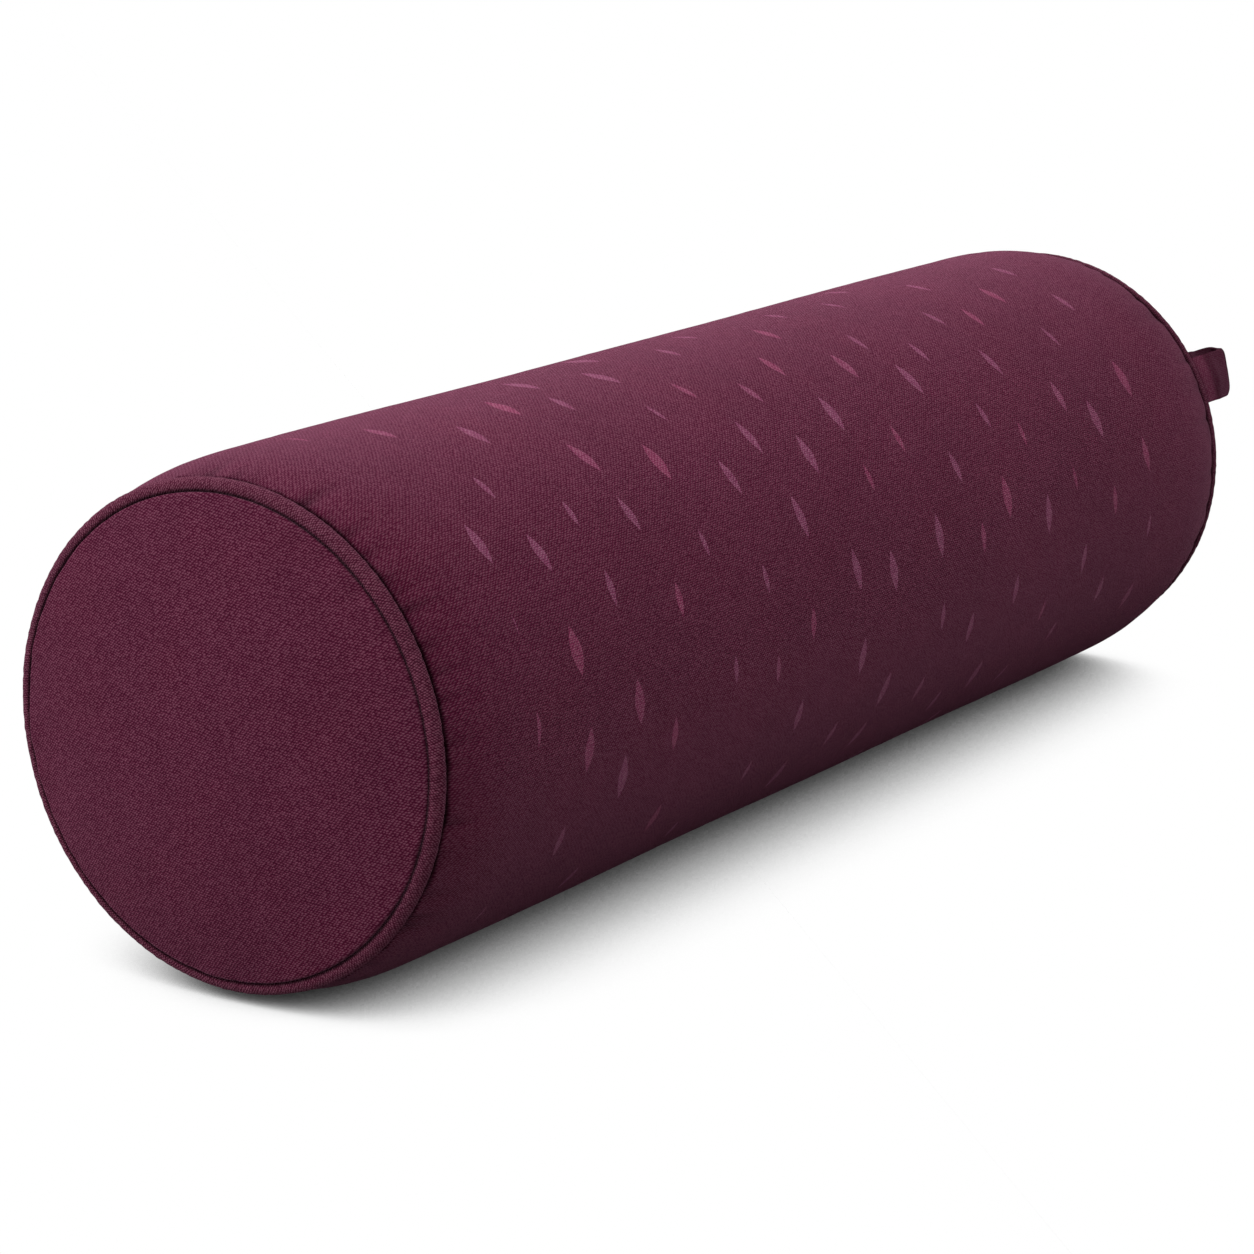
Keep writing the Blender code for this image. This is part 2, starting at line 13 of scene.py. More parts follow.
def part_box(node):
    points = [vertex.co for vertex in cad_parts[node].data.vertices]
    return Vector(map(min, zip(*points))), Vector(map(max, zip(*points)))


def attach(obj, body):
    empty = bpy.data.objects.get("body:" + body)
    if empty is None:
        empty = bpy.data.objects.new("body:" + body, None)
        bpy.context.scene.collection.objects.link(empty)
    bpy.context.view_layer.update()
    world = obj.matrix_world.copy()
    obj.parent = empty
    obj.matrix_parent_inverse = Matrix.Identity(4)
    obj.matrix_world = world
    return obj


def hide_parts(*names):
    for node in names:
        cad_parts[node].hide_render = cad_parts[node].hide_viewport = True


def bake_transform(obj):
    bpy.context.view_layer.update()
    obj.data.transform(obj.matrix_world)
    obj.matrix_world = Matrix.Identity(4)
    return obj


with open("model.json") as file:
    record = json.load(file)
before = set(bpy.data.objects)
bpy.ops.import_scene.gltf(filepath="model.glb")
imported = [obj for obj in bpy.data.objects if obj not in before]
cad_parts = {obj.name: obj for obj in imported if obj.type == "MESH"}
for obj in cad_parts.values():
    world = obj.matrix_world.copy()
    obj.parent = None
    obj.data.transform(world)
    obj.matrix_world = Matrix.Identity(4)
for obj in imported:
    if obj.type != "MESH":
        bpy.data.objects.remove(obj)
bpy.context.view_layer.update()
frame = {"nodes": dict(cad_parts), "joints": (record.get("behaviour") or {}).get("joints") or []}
JOINTS = {joint["name"]: joint for joint in frame["joints"]}

# Sizes of the sewn roll, in the part's own values
FLAT_DEPTH = 0.0005
CLEARANCE = 0.0003
COVER_WALL = 0.0012
LINER_WALL = 0.0008
CORE_RADIUS = 0.080
SHOULDER_LENGTH = 0.045
SHOULDER_DROP = 0.0052
SHOULDER_POWER = 2.7
SHOULDER_BEND = 0.0018
SEAM_ALLOWANCE = 0.007
PIPING_RADIUS = 0.00305
PIPING_INSET = 0.00035
PIPING_STRIP = 0.0005
END_RISE = 0.012
END_CROWN_POWER = 2.4
END_FOLD_RADIUS = 0.0009
END_FOLD_START = math.radians(42.0)
SLOT_END_MARGIN = 0.0685
SLOT_HALF_WIDTH = 0.005
TAPE_WIDTH = 0.014
TAPE_THICKNESS = 0.0006
COIL_GAP = 0.0009
COIL_WIDTH = 0.0026
COIL_THICKNESS = 0.0018

# Sizes worked out from those and from the frame
BARREL_LOW, BARREL_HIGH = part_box("cover_barrel")
RADIUS = (BARREL_HIGH.z - BARREL_LOW.z + FLAT_DEPTH) / 2
AXIS_HEIGHT = BARREL_HIGH.z - RADIUS
SEAM_X = sum(corner.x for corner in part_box("piping_far")) / 2
BARREL_FACE_X = SEAM_X - PIPING_RADIUS - CLEARANCE
PIPING_RING_RADIUS = RADIUS - SHOULDER_DROP - PIPING_INSET - PIPING_RADIUS
HEM_RADIUS = PIPING_RING_RADIUS - PIPING_RADIUS - SEAM_ALLOWANCE
END_HUG_RADIUS = PIPING_RADIUS + CLEARANCE + COVER_WALL / 2
END_RIM_RADIUS = PIPING_RING_RADIUS - (END_HUG_RADIUS + END_FOLD_RADIUS) * math.cos(END_FOLD_START)
END_RIM_X = (END_HUG_RADIUS + END_FOLD_RADIUS) * math.sin(END_FOLD_START) + END_FOLD_RADIUS
LINER_NECK_RADIUS = HEM_RADIUS - CLEARANCE
SLOT_HALF_LENGTH = SEAM_X - SLOT_END_MARGIN

# The zip's line: along the roll, down the cover's face, and outwards
ALONG = Vector((1, 0, 0))
ZIP_DOWN = Vector(JOINTS["pull_swing"]["axis"])
ZIP_OUT = ALONG.cross(ZIP_DOWN)
ZIP_ANGLE = math.atan2(-ZIP_OUT.y, ZIP_OUT.z) % math.tau
ZIP_FACET_ANGLE = (math.pi - math.acos(1 - FLAT_DEPTH / RADIUS)) / 32
ZIP_FACE = RADIUS * math.cos(ZIP_FACET_ANGLE)

CLOTH_MAP = "cloth"              # the UV map that holds a piece's cloth coordinates, in metres
PAINTED_SHADE_ATTRIBUTE = "painted_shade"                # painted shade: how far a point's colour is darkened, as if deep in a seam or fold, from 0 to 1


def srgb(red, green, blue):
    def linear(value):
        value /= 255.0
        return value / 12.92 if value <= 0.04045 else ((value + 0.055) / 1.055) ** 2.4
    return (linear(red), linear(green), linear(blue), 1.0)


PLUM = srgb(108, 50, 72)
PLUM_END = srgb(104, 50, 71)
PLUM_TRIM = srgb(108, 56, 75)
# the strap's own plum, painted lighter for the light on the band beside its seam; painted shade darkens the
# rest of it
PLUM_STRAP_WITH_PAINTED_LIGHT = srgb(112, 60, 80)
PRINT_PINK = srgb(149, 86, 114)
PRINT_RED = srgb(153, 75, 103)
SHEEN_PINK = srgb(216, 152, 180)
SEED_SPECK = srgb(150, 128, 96)


# Materials

class Signal:
    """What a tree's nodes work out. Arithmetic with it adds Math nodes."""

    def __init__(self, nodes, socket):
        self.nodes = nodes
        self.socket = socket

    def math(self, operation, *others):
        return self.nodes.math(operation, self, *others)

    def __add__(self, other):
        return self.math("ADD", other)

    def __sub__(self, other):
        return self.math("SUBTRACT", other)

    def __rsub__(self, other):
        return self.nodes.math("SUBTRACT", other, self)

    def __mul__(self, other):
        return self.math("MULTIPLY", other)

    def __truediv__(self, other):
        return self.math("DIVIDE", other)

    def __pow__(self, other):
        return self.math("POWER", other)

    def __abs__(self):
        return self.math("ABSOLUTE")

    def between(self, low, high):
        """This share of the way from low to high."""
        return self.math("MULTIPLY_ADD", high - low, low)

    def ramp(self, low, high, start=0.0, end=1.0):
        """A smooth step from start at low to end at high."""
        inputs = enumerate((self, low, high, start, end))
        return self.nodes.signal(0, "MapRange", inputs, interpolation_type="SMOOTHSTEP")


class Nodes:
    """A node tree, filled by small calls that each give an output."""

    def __init__(self, tree):
        self.tree = tree

    def plug(self, socket, value):
        if isinstance(value, Signal):
            self.tree.links.new(value.socket, socket)
        else:
            socket.default_value = value

    def node(self, kind, inputs=(), **settings):
        node = self.tree.nodes.new("ShaderNode" + kind)
        for name, value in settings.items():
            setattr(node, name, value)
        for name, value in dict(inputs).items():
            self.plug(node.inputs[name], value)
        return node

    def signal(self, output, kind, inputs=(), **settings):
        return Signal(self, self.node(kind, inputs, **settings).outputs[output])

    def math(self, operation, *values):
        return self.signal(0, "Math", enumerate(values), operation=operation)

    def mixed(self, share, first, second):
        return self.signal(2, "Mix", {0: share, 6: first, 7: second}, data_type="RGBA")

    def shaded(self, colour, value, saturation=1.0):
        return self.signal(0, "HueSaturation", {"Color": colour, "Value": value, "Saturation": saturation})

    def vector(self, x, y, z=0.0):
        return self.signal(0, "CombineXYZ", enumerate((x, y, z)))

    def parts(self, vector):
        return [Signal(self, socket) for socket in self.node("SeparateXYZ", {0: vector}).outputs]

    def noise(self, vector, size, detail=2.0, roughness=0.5, output=0):
        """Noise from 0 to 1 whose patches are about size metres across."""
        inputs = {"Vector": vector, "Scale": 1 / size, "Detail": detail, "Roughness": roughness}
        return self.signal(output, "TexNoise", inputs)

    def chance(self, x, y, seed):
        """Three even random numbers for each whole (x, y)."""
        return self.parts(self.signal("Color", "TexWhiteNoise", {"Vector": self.vector(x, y, seed)}))

    def cloth_place(self):
        """The piece's cloth coordinates in metres, as (u, v)."""
        return self.parts(self.signal(0, "UVMap", uv_map=CLOTH_MAP))[:2]

    def object_place(self):
        return self.signal("Object", "TexCoord")

    def seen(self):
        """1 for what the camera sees straight, mirrored in gloss or through something clear."""
        rays = self.node("LightPath").outputs
        found = Signal(self, rays["Is Camera Ray"])
        for name in ("Is Glossy Ray", "Is Transmission Ray"):
            found = found.math("MAXIMUM", Signal(self, rays[name]))
        return found


class Finish(Nodes):
    """A material."""

    def __init__(self, name, roughness, specular, sheen=0.0, metallic=0.0):
        self.material = bpy.data.materials.new(name)
        self.material.use_nodes = True
        super().__init__(self.material.node_tree)
        self.shader = self.tree.nodes["Principled BSDF"]
        for socket, value in (("Roughness", roughness), ("Specular IOR Level", specular),
                              ("Sheen Weight", sheen), ("Metallic", metallic)):
            self.shader.inputs[socket].default_value = value

    def done(self, colour, height, depth):
        """Plugs in a colour and a relief of that depth in metres, and gives the material."""
        self.plug(self.shader.inputs["Base Color"], colour)
        bump = self.signal(0, "Bump", {"Strength": 1.0, "Distance": depth, "Height": height})
        self.plug(self.shader.inputs["Normal"], bump)
        return self.material


WEAVE_WANDER = 0.3               # how far the threads stray, in pitches
NUB_WANDER = 0.7                 # how far the nubs' rows stray, in rows
NUB_PATCH = 9                    # across how many rows
NUB_UNEVEN = 0.32


def weave(finish, u, v, pitch):
    """Height from 0 to 1 of a plain weave whose threads lie pitch apart along u and v."""
    place = finish.vector(u, v)
    stray = WEAVE_WANDER * pitch

    def thread(across, patch):
        drift = finish.noise(place, pitch * patch).between(-stray, stray)
        return ((across + drift) * (math.pi / pitch)).math("SINE")

    over = thread(u, 5) * thread(v, 3)
    return abs(over) ** 0.45 * over.between(0.58, 1.0)


def nubs(finish, u, v, along, across, slant):
    """(height from 0 to 1, a chance value for each nub) of a slubby canvas.

    Its nubs stand along apart in rows that lie across apart, each row shifted by half a nub.
    slant turns the rows away from u."""
    place = finish.vector(u, v)
    drift = finish.noise(place, across * NUB_PATCH, 3.0, output="Color")
    drift = finish.signal(0, "VectorMath", {0: drift, 1: (0.5, 0.5, 0.5)}, operation="SUBTRACT")
    reach = (2 * NUB_WANDER * across,) * 3
    moved = finish.signal(0, "VectorMath", {0: drift, 1: reach, 2: place}, operation="MULTIPLY_ADD")
    turned = finish.signal(0, "VectorRotate", {"Vector": moved, "Angle": slant}, rotation_type="Z_AXIS")
    x, y, _ = finish.parts(turned)
    row = y * (1 / across)
    lattice = finish.vector(x * (1 / along) + row * 0.5, row)
    cells = finish.node("TexVoronoi", {"Vector": lattice, "Scale": 1.0, "Randomness": NUB_UNEVEN},
                        voronoi_dimensions="2D").outputs
    height = Signal(finish, cells["Distance"]).ramp(-0.05, 0.72, 1.0, 0.0)
    return height, finish.parts(Signal(finish, cells["Color"]))[0]


def cloth_finish(name, base, grain, contrast, slant=0.0, printed=False, depth=0.0003, sheen=0.46):
    """Dyed cotton canvas: nubs of thread over dark pits, faint mottling, and painted shade where its
    painted-shade attribute marks seams and folds.

    grain is how far apart the nubs stand, along the rows and from row to row."""
    finish = Finish(name, 0.9, 0.0, sheen)
    finish.shader.inputs["Sheen Roughness"].default_value = 0.33
    finish.shader.inputs["Sheen Tint"].default_value = SHEEN_PINK
    u, v = finish.cloth_place()
    place = finish.vector(u, v)
    height, odd = nubs(finish, u, v, *grain, slant)
    fibre = finish.noise(place, grain[1] * 0.25, 3.0, 0.6)
    nub = height + fibre.between(-0.25, 0.25) + odd.between(-0.15, 0.15)
    value = nub.ramp(0.0, 1.05, 1 - contrast, 1 + contrast)
    value = value * finish.noise(place, 0.085, 3.0).ramp(0.25, 0.75, 0.94, 1.06)
    value = value * finish.noise(place, 0.014, 3.0).ramp(0.2, 0.8, 0.95, 1.05)
    warm = tuple(part * gain for part, gain in zip(base, (1.05, 0.95, 0.93, 1.0)))
    dye = finish.mixed(finish.noise(place, 0.05).ramp(0.4, 0.75, 0.0, 0.35), base, warm)
    if printed:
        share, ink = print_marks(finish, u, v)
        dye = finish.mixed(share * nub.ramp(-0.1, 0.4, 0.75, 1.0), dye, ink)
        value = value + share * (1.0 - value) * 0.4
    # painted shade: the colour's value is darkened by the painted-shade attribute, down to 0.12 of itself
    painted_shade_read = finish.signal("Fac", "Attribute", attribute_name=PAINTED_SHADE_ATTRIBUTE)
    toned = finish.shaded(dye, value * painted_shade_read.ramp(0.0, 1.0, 1.0, 0.12), nub.ramp(0.0, 1.05, 1.16, 0.86))
    return finish.done(toned, nub, depth)


# The print: one slim spindle in each cell of a staggered lattice, scattered inside its cell
PRINT_ROWS = 16                  # cells round the roll
PRINT_ROUND = math.tau * RADIUS / PRINT_ROWS
PRINT_CELL = 0.0368              # a cell's length along the roll
PRINT_START = 0.056              # from the near seam
PRINT_END = 0.622
PRINT_LENGTHS = (0.0130, 0.0220)
PRINT_WIDTHS = (0.0034, 0.0082)
PRINT_STRAY = (0.014, 0.017)     # how far a mark may lie off its cell's middle, in all
PRINT_TILTS = (math.radians(-4.0), math.radians(9.0))
PRINT_TAPER = 1.7
PRINT_EDGE = 0.0005
PRINT_SHARE = 0.96               # of the cells that hold a mark


def print_marks(finish, u, v):
    """(how much of a mark lies at a place, the mark's colour)."""
    from_seam = u + SEAM_X
    column_place = from_seam / PRINT_CELL
    column = column_place.math("FLOOR")
    row_place = v / PRINT_ROUND + column.math("MODULO", 2.0) * 0.5
    row = row_place.math("FLOOR")
    turned = row.math("FLOORED_MODULO", PRINT_ROWS)
    shift_u, shift_v, lean = finish.chance(column, turned, 3.0)
    size, slim, kept = finish.chance(column, turned, 11.0)

    def local(place, whole, cell, shift, room):
        return (place - whole - 0.5) * cell - (shift - 0.5) * room

    beside = local(column_place, column, PRINT_CELL, shift_u, PRINT_STRAY[0])
    along = local(row_place, row, PRINT_ROUND, shift_v, PRINT_STRAY[1])
    across = beside - along * lean.between(*PRINT_TILTS)
    big = size ** 1.1
    width = (big * slim.ramp(0.0, 1.0, 0.75, 1.05)).between(*PRINT_WIDTHS)
    reach = (abs(along) / (big.between(*PRINT_LENGTHS) * 0.5)).math("MINIMUM", 1.0)
    inside = width * (1.0 - reach ** PRINT_TAPER) * 0.5 - abs(across)
    shown = inside.ramp(0.0, PRINT_EDGE) * kept.math("LESS_THAN", PRINT_SHARE)
    shown = shown * from_seam.math("GREATER_THAN", PRINT_START) * from_seam.math("LESS_THAN", PRINT_END)
    return shown, finish.mixed(slim.ramp(0.70, 0.95, 0.0, 0.7), PRINT_PINK, PRINT_RED)


def plain_weave_finish(name, base, pitch, depth):
    """Undyed woven cotton, such as the liner and the filler cord."""
    finish = Finish(name, 0.95, 0.2, sheen=0.1)
    u, v = finish.cloth_place()
    height = weave(finish, u, v, pitch)
    slub = finish.noise(finish.vector(u, v * 9.0), 0.012)
    value = height.ramp(0.0, 0.9, 0.82, 1.05) * slub.ramp(0.3, 0.7, 0.96, 1.03)
    speck = finish.noise(finish.vector(u, v), 0.004, 4.0).ramp(0.68, 0.74, 0.0, 0.5)
    return finish.done(finish.shaded(finish.mixed(speck, base, SEED_SPECK), value), height, depth)


def fibre_finish(name, base, size, depth):
    """Batting: matted fibres with soft tufts."""
    finish = Finish(name, 1.0, 0.1, sheen=0.4)
    place = finish.object_place()
    tufts = finish.noise(place, size, 5.0, 0.65)
    strands = finish.noise(place, size * 0.08, 2.0, 0.7)
    return finish.done(finish.shaded(base, tufts.ramp(0.3, 0.7, 0.9, 1.04)), strands * 0.3 + tufts, depth)


def foam_finish(name, base):
    """Cut open-cell foam: small round pores."""
    finish = Finish(name, 0.95, 0.2)
    place = finish.object_place()
    pores = finish.signal("Distance", "TexVoronoi", {"Vector": place, "Scale": 900.0, "Randomness": 1.0})
    blotch = finish.noise(place, 0.03).ramp(0.3, 0.7, 0.94, 1.04)
    return finish.done(finish.shaded(base, pores.ramp(0.0, 0.6, 0.62, 1.05) * blotch), pores, 0.0004)


def nylon_finish(name, base):
    finish = Finish(name, 0.42, 0.5)
    place = finish.object_place()
    value = finish.noise(place, 0.006, 3.0).ramp(0.3, 0.7, 0.9, 1.1)
    return finish.done(finish.shaded(base, value), finish.noise(place, 0.0008), 0.00005)


TAPE_RIB = 0.0012                # from one rib of the zip's tape to the next


def tape_finish(name, base):
    """The zip's tape: a close twill with ribs along the zip."""
    finish = Finish(name, 0.75, 0.25, sheen=0.15)
    u, v = finish.cloth_place()
    twill = ((u + v) * (math.tau / TAPE_RIB)).math("SINE").between(0.5, 1.0)
    height = twill * weave(finish, u, v, 0.0005)
    return finish.done(finish.shaded(base, height.ramp(0.0, 0.7, 0.7, 1.15)), height, 0.00015)


def metal_finish(name, base):
    """Plated zinc, brushed fine along the zip and dulled by handling."""
    finish = Finish(name, 0.32, 0.5, metallic=1.0)
    place = finish.object_place()
    x, y, z = finish.parts(place)
    brushed = finish.noise(finish.vector(x * 0.06, y, z), 0.0003)
    worn = finish.noise(place, 0.004, 4.0)
    finish.plug(finish.shader.inputs["Roughness"], worn.ramp(0.35, 0.7, 0.26, 0.46))
    return finish.done(finish.shaded(base, worn.ramp(0.3, 0.7, 0.82, 1.05)), brushed, 0.00002)


# Meshes

def full_turn(count):
    """Even angles round the axis, one for each column."""
    return np.arange(count) * math.tau / count


def half_turn(angles):
    """Angles as measured from 0 either way."""
    return (angles + math.pi) % math.tau - math.pi


def ring_points(x, radii, angles):
    """Points round the roll's axis, a column for each angle."""
    places = (x, -np.sin(angles) * radii, AXIS_HEIGHT + np.cos(angles) * radii)
    return np.stack(np.broadcast_arrays(*places), -1)


def closed(grid):
    """A grid with its first column once more at its end."""
    return np.concatenate([grid, grid[:, :1]], 1)


def quads(grid):
    """The four corners of each cell of a grid."""
    return np.stack([grid[:-1, :-1], grid[:-1, 1:], grid[1:, 1:], grid[1:, :-1]], -1)


def placed(name, data):
    """A new object in the scene."""
    obj = bpy.data.objects.new(name, data)
    bpy.context.scene.collection.objects.link(obj)
    return obj


def new_mesh(name, points, faces, *materials):
    mesh = bpy.data.meshes.new(name)
    mesh.from_pydata(np.reshape(points, (-1, 3)).tolist(), [], faces)
    for material in materials:
        mesh.materials.append(material)
    return mesh


def grid_object(name, points, cloth, finish, body="root", wrap=True, holes=None, painted_shade=None):
    """A grid of points as quads. cloth is (u, v) in metres, with one more column where it wraps."""
    rows, columns = points.shape[:2]
    index = np.arange(rows * columns).reshape(rows, columns)
    if wrap:
        index = closed(index)
    corners = quads(index)
    maps = [quads(np.broadcast_to(part, index.shape)) for part in cloth]
    solid = np.ones(corners.shape[:2], bool) if holes is None else ~holes
    faces = corners[solid]
    places = np.stack([part[solid] for part in maps], -1)
    used = np.unique(faces)
    renumber = np.full(rows * columns, -1)
    renumber[used] = np.arange(len(used))
    mesh = new_mesh(name, points.reshape(-1, 3)[used], renumber[faces].tolist(), finish)
    layer = mesh.uv_layers.new(name=CLOTH_MAP)
    layer.data.foreach_set("uv", places.reshape(-1).astype(np.float32))
    # each point's painted shade, stored as an attribute for the cloth finish to darken its colour by
    if painted_shade is not None:
        depths = np.broadcast_to(painted_shade, (rows, columns)).reshape(-1)[used]
        attribute = mesh.attributes.new(PAINTED_SHADE_ATTRIBUTE, "FLOAT", "POINT")
        attribute.data.foreach_set("value", depths.astype(np.float32))
    mesh.shade_smooth()
    obj = placed(name, mesh)
    if body:
        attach(obj, body)
    return obj


def thicken(obj, wall, offset=-1.0):
    """Gives a sheet its thickness, inwards from the face that shows."""
    solidify = obj.modifiers.new("wall", "SOLIDIFY")
    solidify.thickness = wall
    solidify.offset = offset
    solidify.use_even_offset = False


def weld(obj, reach=0.00001):
    obj.modifiers.new("weld", "WELD").merge_threshold = reach


def ease(obj, width, angle):
    """Rounds the edges that turn by more than angle degrees."""
    bevel = obj.modifiers.new("eased edges", "BEVEL")
    bevel.width = width
    bevel.segments = 3
    bevel.limit_method = "ANGLE"
    bevel.angle_limit = math.radians(angle)


def stand_for(obj, node):
    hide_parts(node)
    return obj


def low_points(count, spans, seed):
    """Waves for a gentle unevenness: (strength, along, round, phase) for each."""
    random = np.random.default_rng(seed)
    return [(random.uniform(0.4, 1.0), random.uniform(*spans), random.integers(0, 6),
             random.uniform(0, math.tau)) for _ in range(count)]


WAVES = low_points(14, (4.0, 34.0), 5)
UNEVEN_DEPTH = 0.00045
PUCKER_WIDTHS = (0.0016, 0.0034)
PUCKER_DEPTH = 0.0010
PUCKER_REACH = 0.016
FLOOR_COSINE = 0.5               # only the lower part of the roll, by its cosine, can reach the floor


def unevenness(x, angles):
    """How far the stuffed roll stands proud of its even shape, in metres."""
    total = sum(strength * np.sin(along * x + turns * angles + phase)
                for strength, along, turns, phase in WAVES)
    return UNEVEN_DEPTH * total / math.sqrt(len(WAVES))


def puckers(distance, angles, radius, seed, count=64, depth=PUCKER_DEPTH, reach=PUCKER_REACH):
    """Small creases that run in from a seam, deepest where the cloth is sewn."""
    random = np.random.default_rng(seed)
    found = np.zeros(np.broadcast_shapes(distance.shape, angles.shape))
    for number in range(count):
        middle = (number + random.uniform(-0.45, 0.45)) * math.tau / count
        width = random.uniform(*PUCKER_WIDTHS)
        strength = depth * random.uniform(0.15, 1.0) ** 1.5
        length = reach * random.uniform(0.4, 1.5)
        off = half_turn(angles - middle) * radius / width
        found = found - strength * np.exp(-off ** 2 - np.maximum(distance, 0) / length)
    return found


def flattened(radii, angles, height):
    """Radii cut to what lies on a floor at this height below the axis."""
    below = -np.cos(angles)
    floor = np.where(below > FLOOR_COSINE, height / np.maximum(below, FLOOR_COSINE), 1.0)
    return np.minimum(radii, floor)


# Cloth under pressure: the sewn panels are let go for a moment and swell against their seams

CLOTH_STEP = 0.0065              # of the trial cloth's mesh
CLOTH_FRAMES = 20
CLOTH_PRESSURE = 4.0
CLOTH_SLACK = 1.004              # the cloth was cut this much wider than the space it fills
CLOTH_BENDING = 0.05
CLOTH_JITTER = 0.00004
STITCH_PULL = 0.00045            # how unevenly the seams' stitches hold it
CLOTH_CAPS = (0.00025, 0.0011)   # how far a point may move in and out of the panel's even shape


def catmull(a, b, c, d, t):
    """The curve between b and c, as t goes from 0 to 1."""
    square = 2 * a - 5 * b + 4 * c - d
    cube = 3 * b - a - 3 * c + d
    return 0.5 * (2 * b + (c - a) * t + square * t ** 2 + cube * t ** 3)


def read_rows(field, places, wrap=False):
    """A field's values between its rows, at places counted in rows."""
    base = np.floor(places).astype(int)
    near = [(base + step) % len(field) if wrap else np.clip(base + step, 0, len(field) - 1)
            for step in (-1, 0, 1, 2)]
    return catmull(*(field[rows] for rows in near), (places - base)[:, None])


def read_field(field, rows, angles):
    """A field's values, where it goes all the way round, at places counted in rows and angles."""
    field = read_rows(field, np.clip(rows, 0, len(field) - 1))
    return read_rows(field.T, angles % math.tau / math.tau * field.shape[1], wrap=True).T


def swollen(start, cut_shape, seed, sewn):
    """How far each point of a panel moves outwards when pressed from inside, with its edge rows held.

    start is its even shape as a wrapped grid, cut_shape is how the cloth was cut, and sewn are the
    rows held by stitches. The even part of the swelling is left out."""
    rows, columns = start.shape[:2]
    index = np.arange(rows * columns).reshape(rows, columns)
    mesh = new_mesh("trial_cloth", start, quads(closed(index)).reshape(-1, 4).tolist())
    normals = np.empty(rows * columns * 3, np.float32)
    mesh.vertices.foreach_get("normal", normals)
    normals = normals.reshape(rows, columns, 3)
    pull = np.full((rows, 1), CLOTH_JITTER)
    pull[sewn] = STITCH_PULL
    random = np.random.default_rng(seed)
    uneven = random.normal(0, 1, (rows, columns)) * pull
    mesh.vertices.foreach_set("co", (start + uneven[..., None] * normals).reshape(-1).astype(np.float32))
    trial = placed("trial_cloth", mesh)
    trial.shape_key_add(name="Basis")
    cut = trial.shape_key_add(name="cut")
    cut.data.foreach_set("co", cut_shape.reshape(-1).astype(np.float32))
    trial.vertex_groups.new(name="sewn").add(index[[0, -1]].reshape(-1).tolist(), 1.0, "REPLACE")
    cloth = trial.modifiers.new("cloth", "CLOTH").settings
    cloth.rest_shape_key = cut
    cloth.vertex_group_mass = "sewn"
    cloth.use_pressure = True
    cloth.uniform_pressure_force = CLOTH_PRESSURE
    cloth.bending_stiffness = CLOTH_BENDING
    cloth.effector_weights.gravity = 0.0
    scene = bpy.context.scene
    for frame_number in range(1, CLOTH_FRAMES + 1):
        scene.frame_set(frame_number)
    shape = trial.evaluated_get(bpy.context.evaluated_depsgraph_get()).data
    ended = np.empty(rows * columns * 3, np.float32)
    shape.vertices.foreach_get("co", ended)
    moved = ((ended.reshape(rows, columns, 3) - start) * normals).sum(-1)
    bpy.data.objects.remove(trial)
    bpy.data.meshes.remove(mesh)
    scene.frame_set(1)
    uneven = moved - moved.mean(1, keepdims=True)
    cap = np.where(uneven < 0, *CLOTH_CAPS)
    return cap * np.tanh(uneven / cap)


# The printed panel

# Rows along half of the barrel, as (from this x, spacing)
BARREL_ROWS = ((0.0, 0.0065), (0.264, 0.0014), (0.296, 0.0032), (0.318, 0.0017))
BARREL_SPACING = 0.0026          # round the roll
BARREL_FOLD = SHOULDER_BEND + COVER_WALL / 2
BARREL_FOLD_ROWS = 6
BARREL_HEM_ROWS = 3
SWELLING_X = BARREL_FACE_X - BARREL_FOLD / 2
SEAM_PAINTED_SHADE = (0.65, 0.0016)     # painted shade in the seam: how dark, and how far from the seam it reaches
NEAR_PAINTED_SHADE = (0.12, 0.004)      # painted shade beside the seam, given the same way
# painted shade along the shoulders, and in the puckers' valleys
SHOULDER_PAINTED_SHADE = (0.20, 0.035)
PUCKER_PAINTED_SHADE = 0.5

ZIP_SPACING = 0.000625
ZIP_BAND = 0.0175                # half-width of the finer columns beside the zip
ZIP_EASE = 0.03                  # past its ends, over which the zip's flat facet turns round
ZIP_CALM = 0.03                  # half-width of the cloth that the zip holds calm
STITCH_OFFSET = 0.0044           # topstitching, from the edge of the opening
STITCH_DIP = (0.00035, 0.0007)   # depth and width
ZIP_FOLD = (0.00055, 0.0006)     # how high the cloth's folded edge stands, and how soon
ZIP_SEAM_GROOVE = (0.0005, 0.0008)


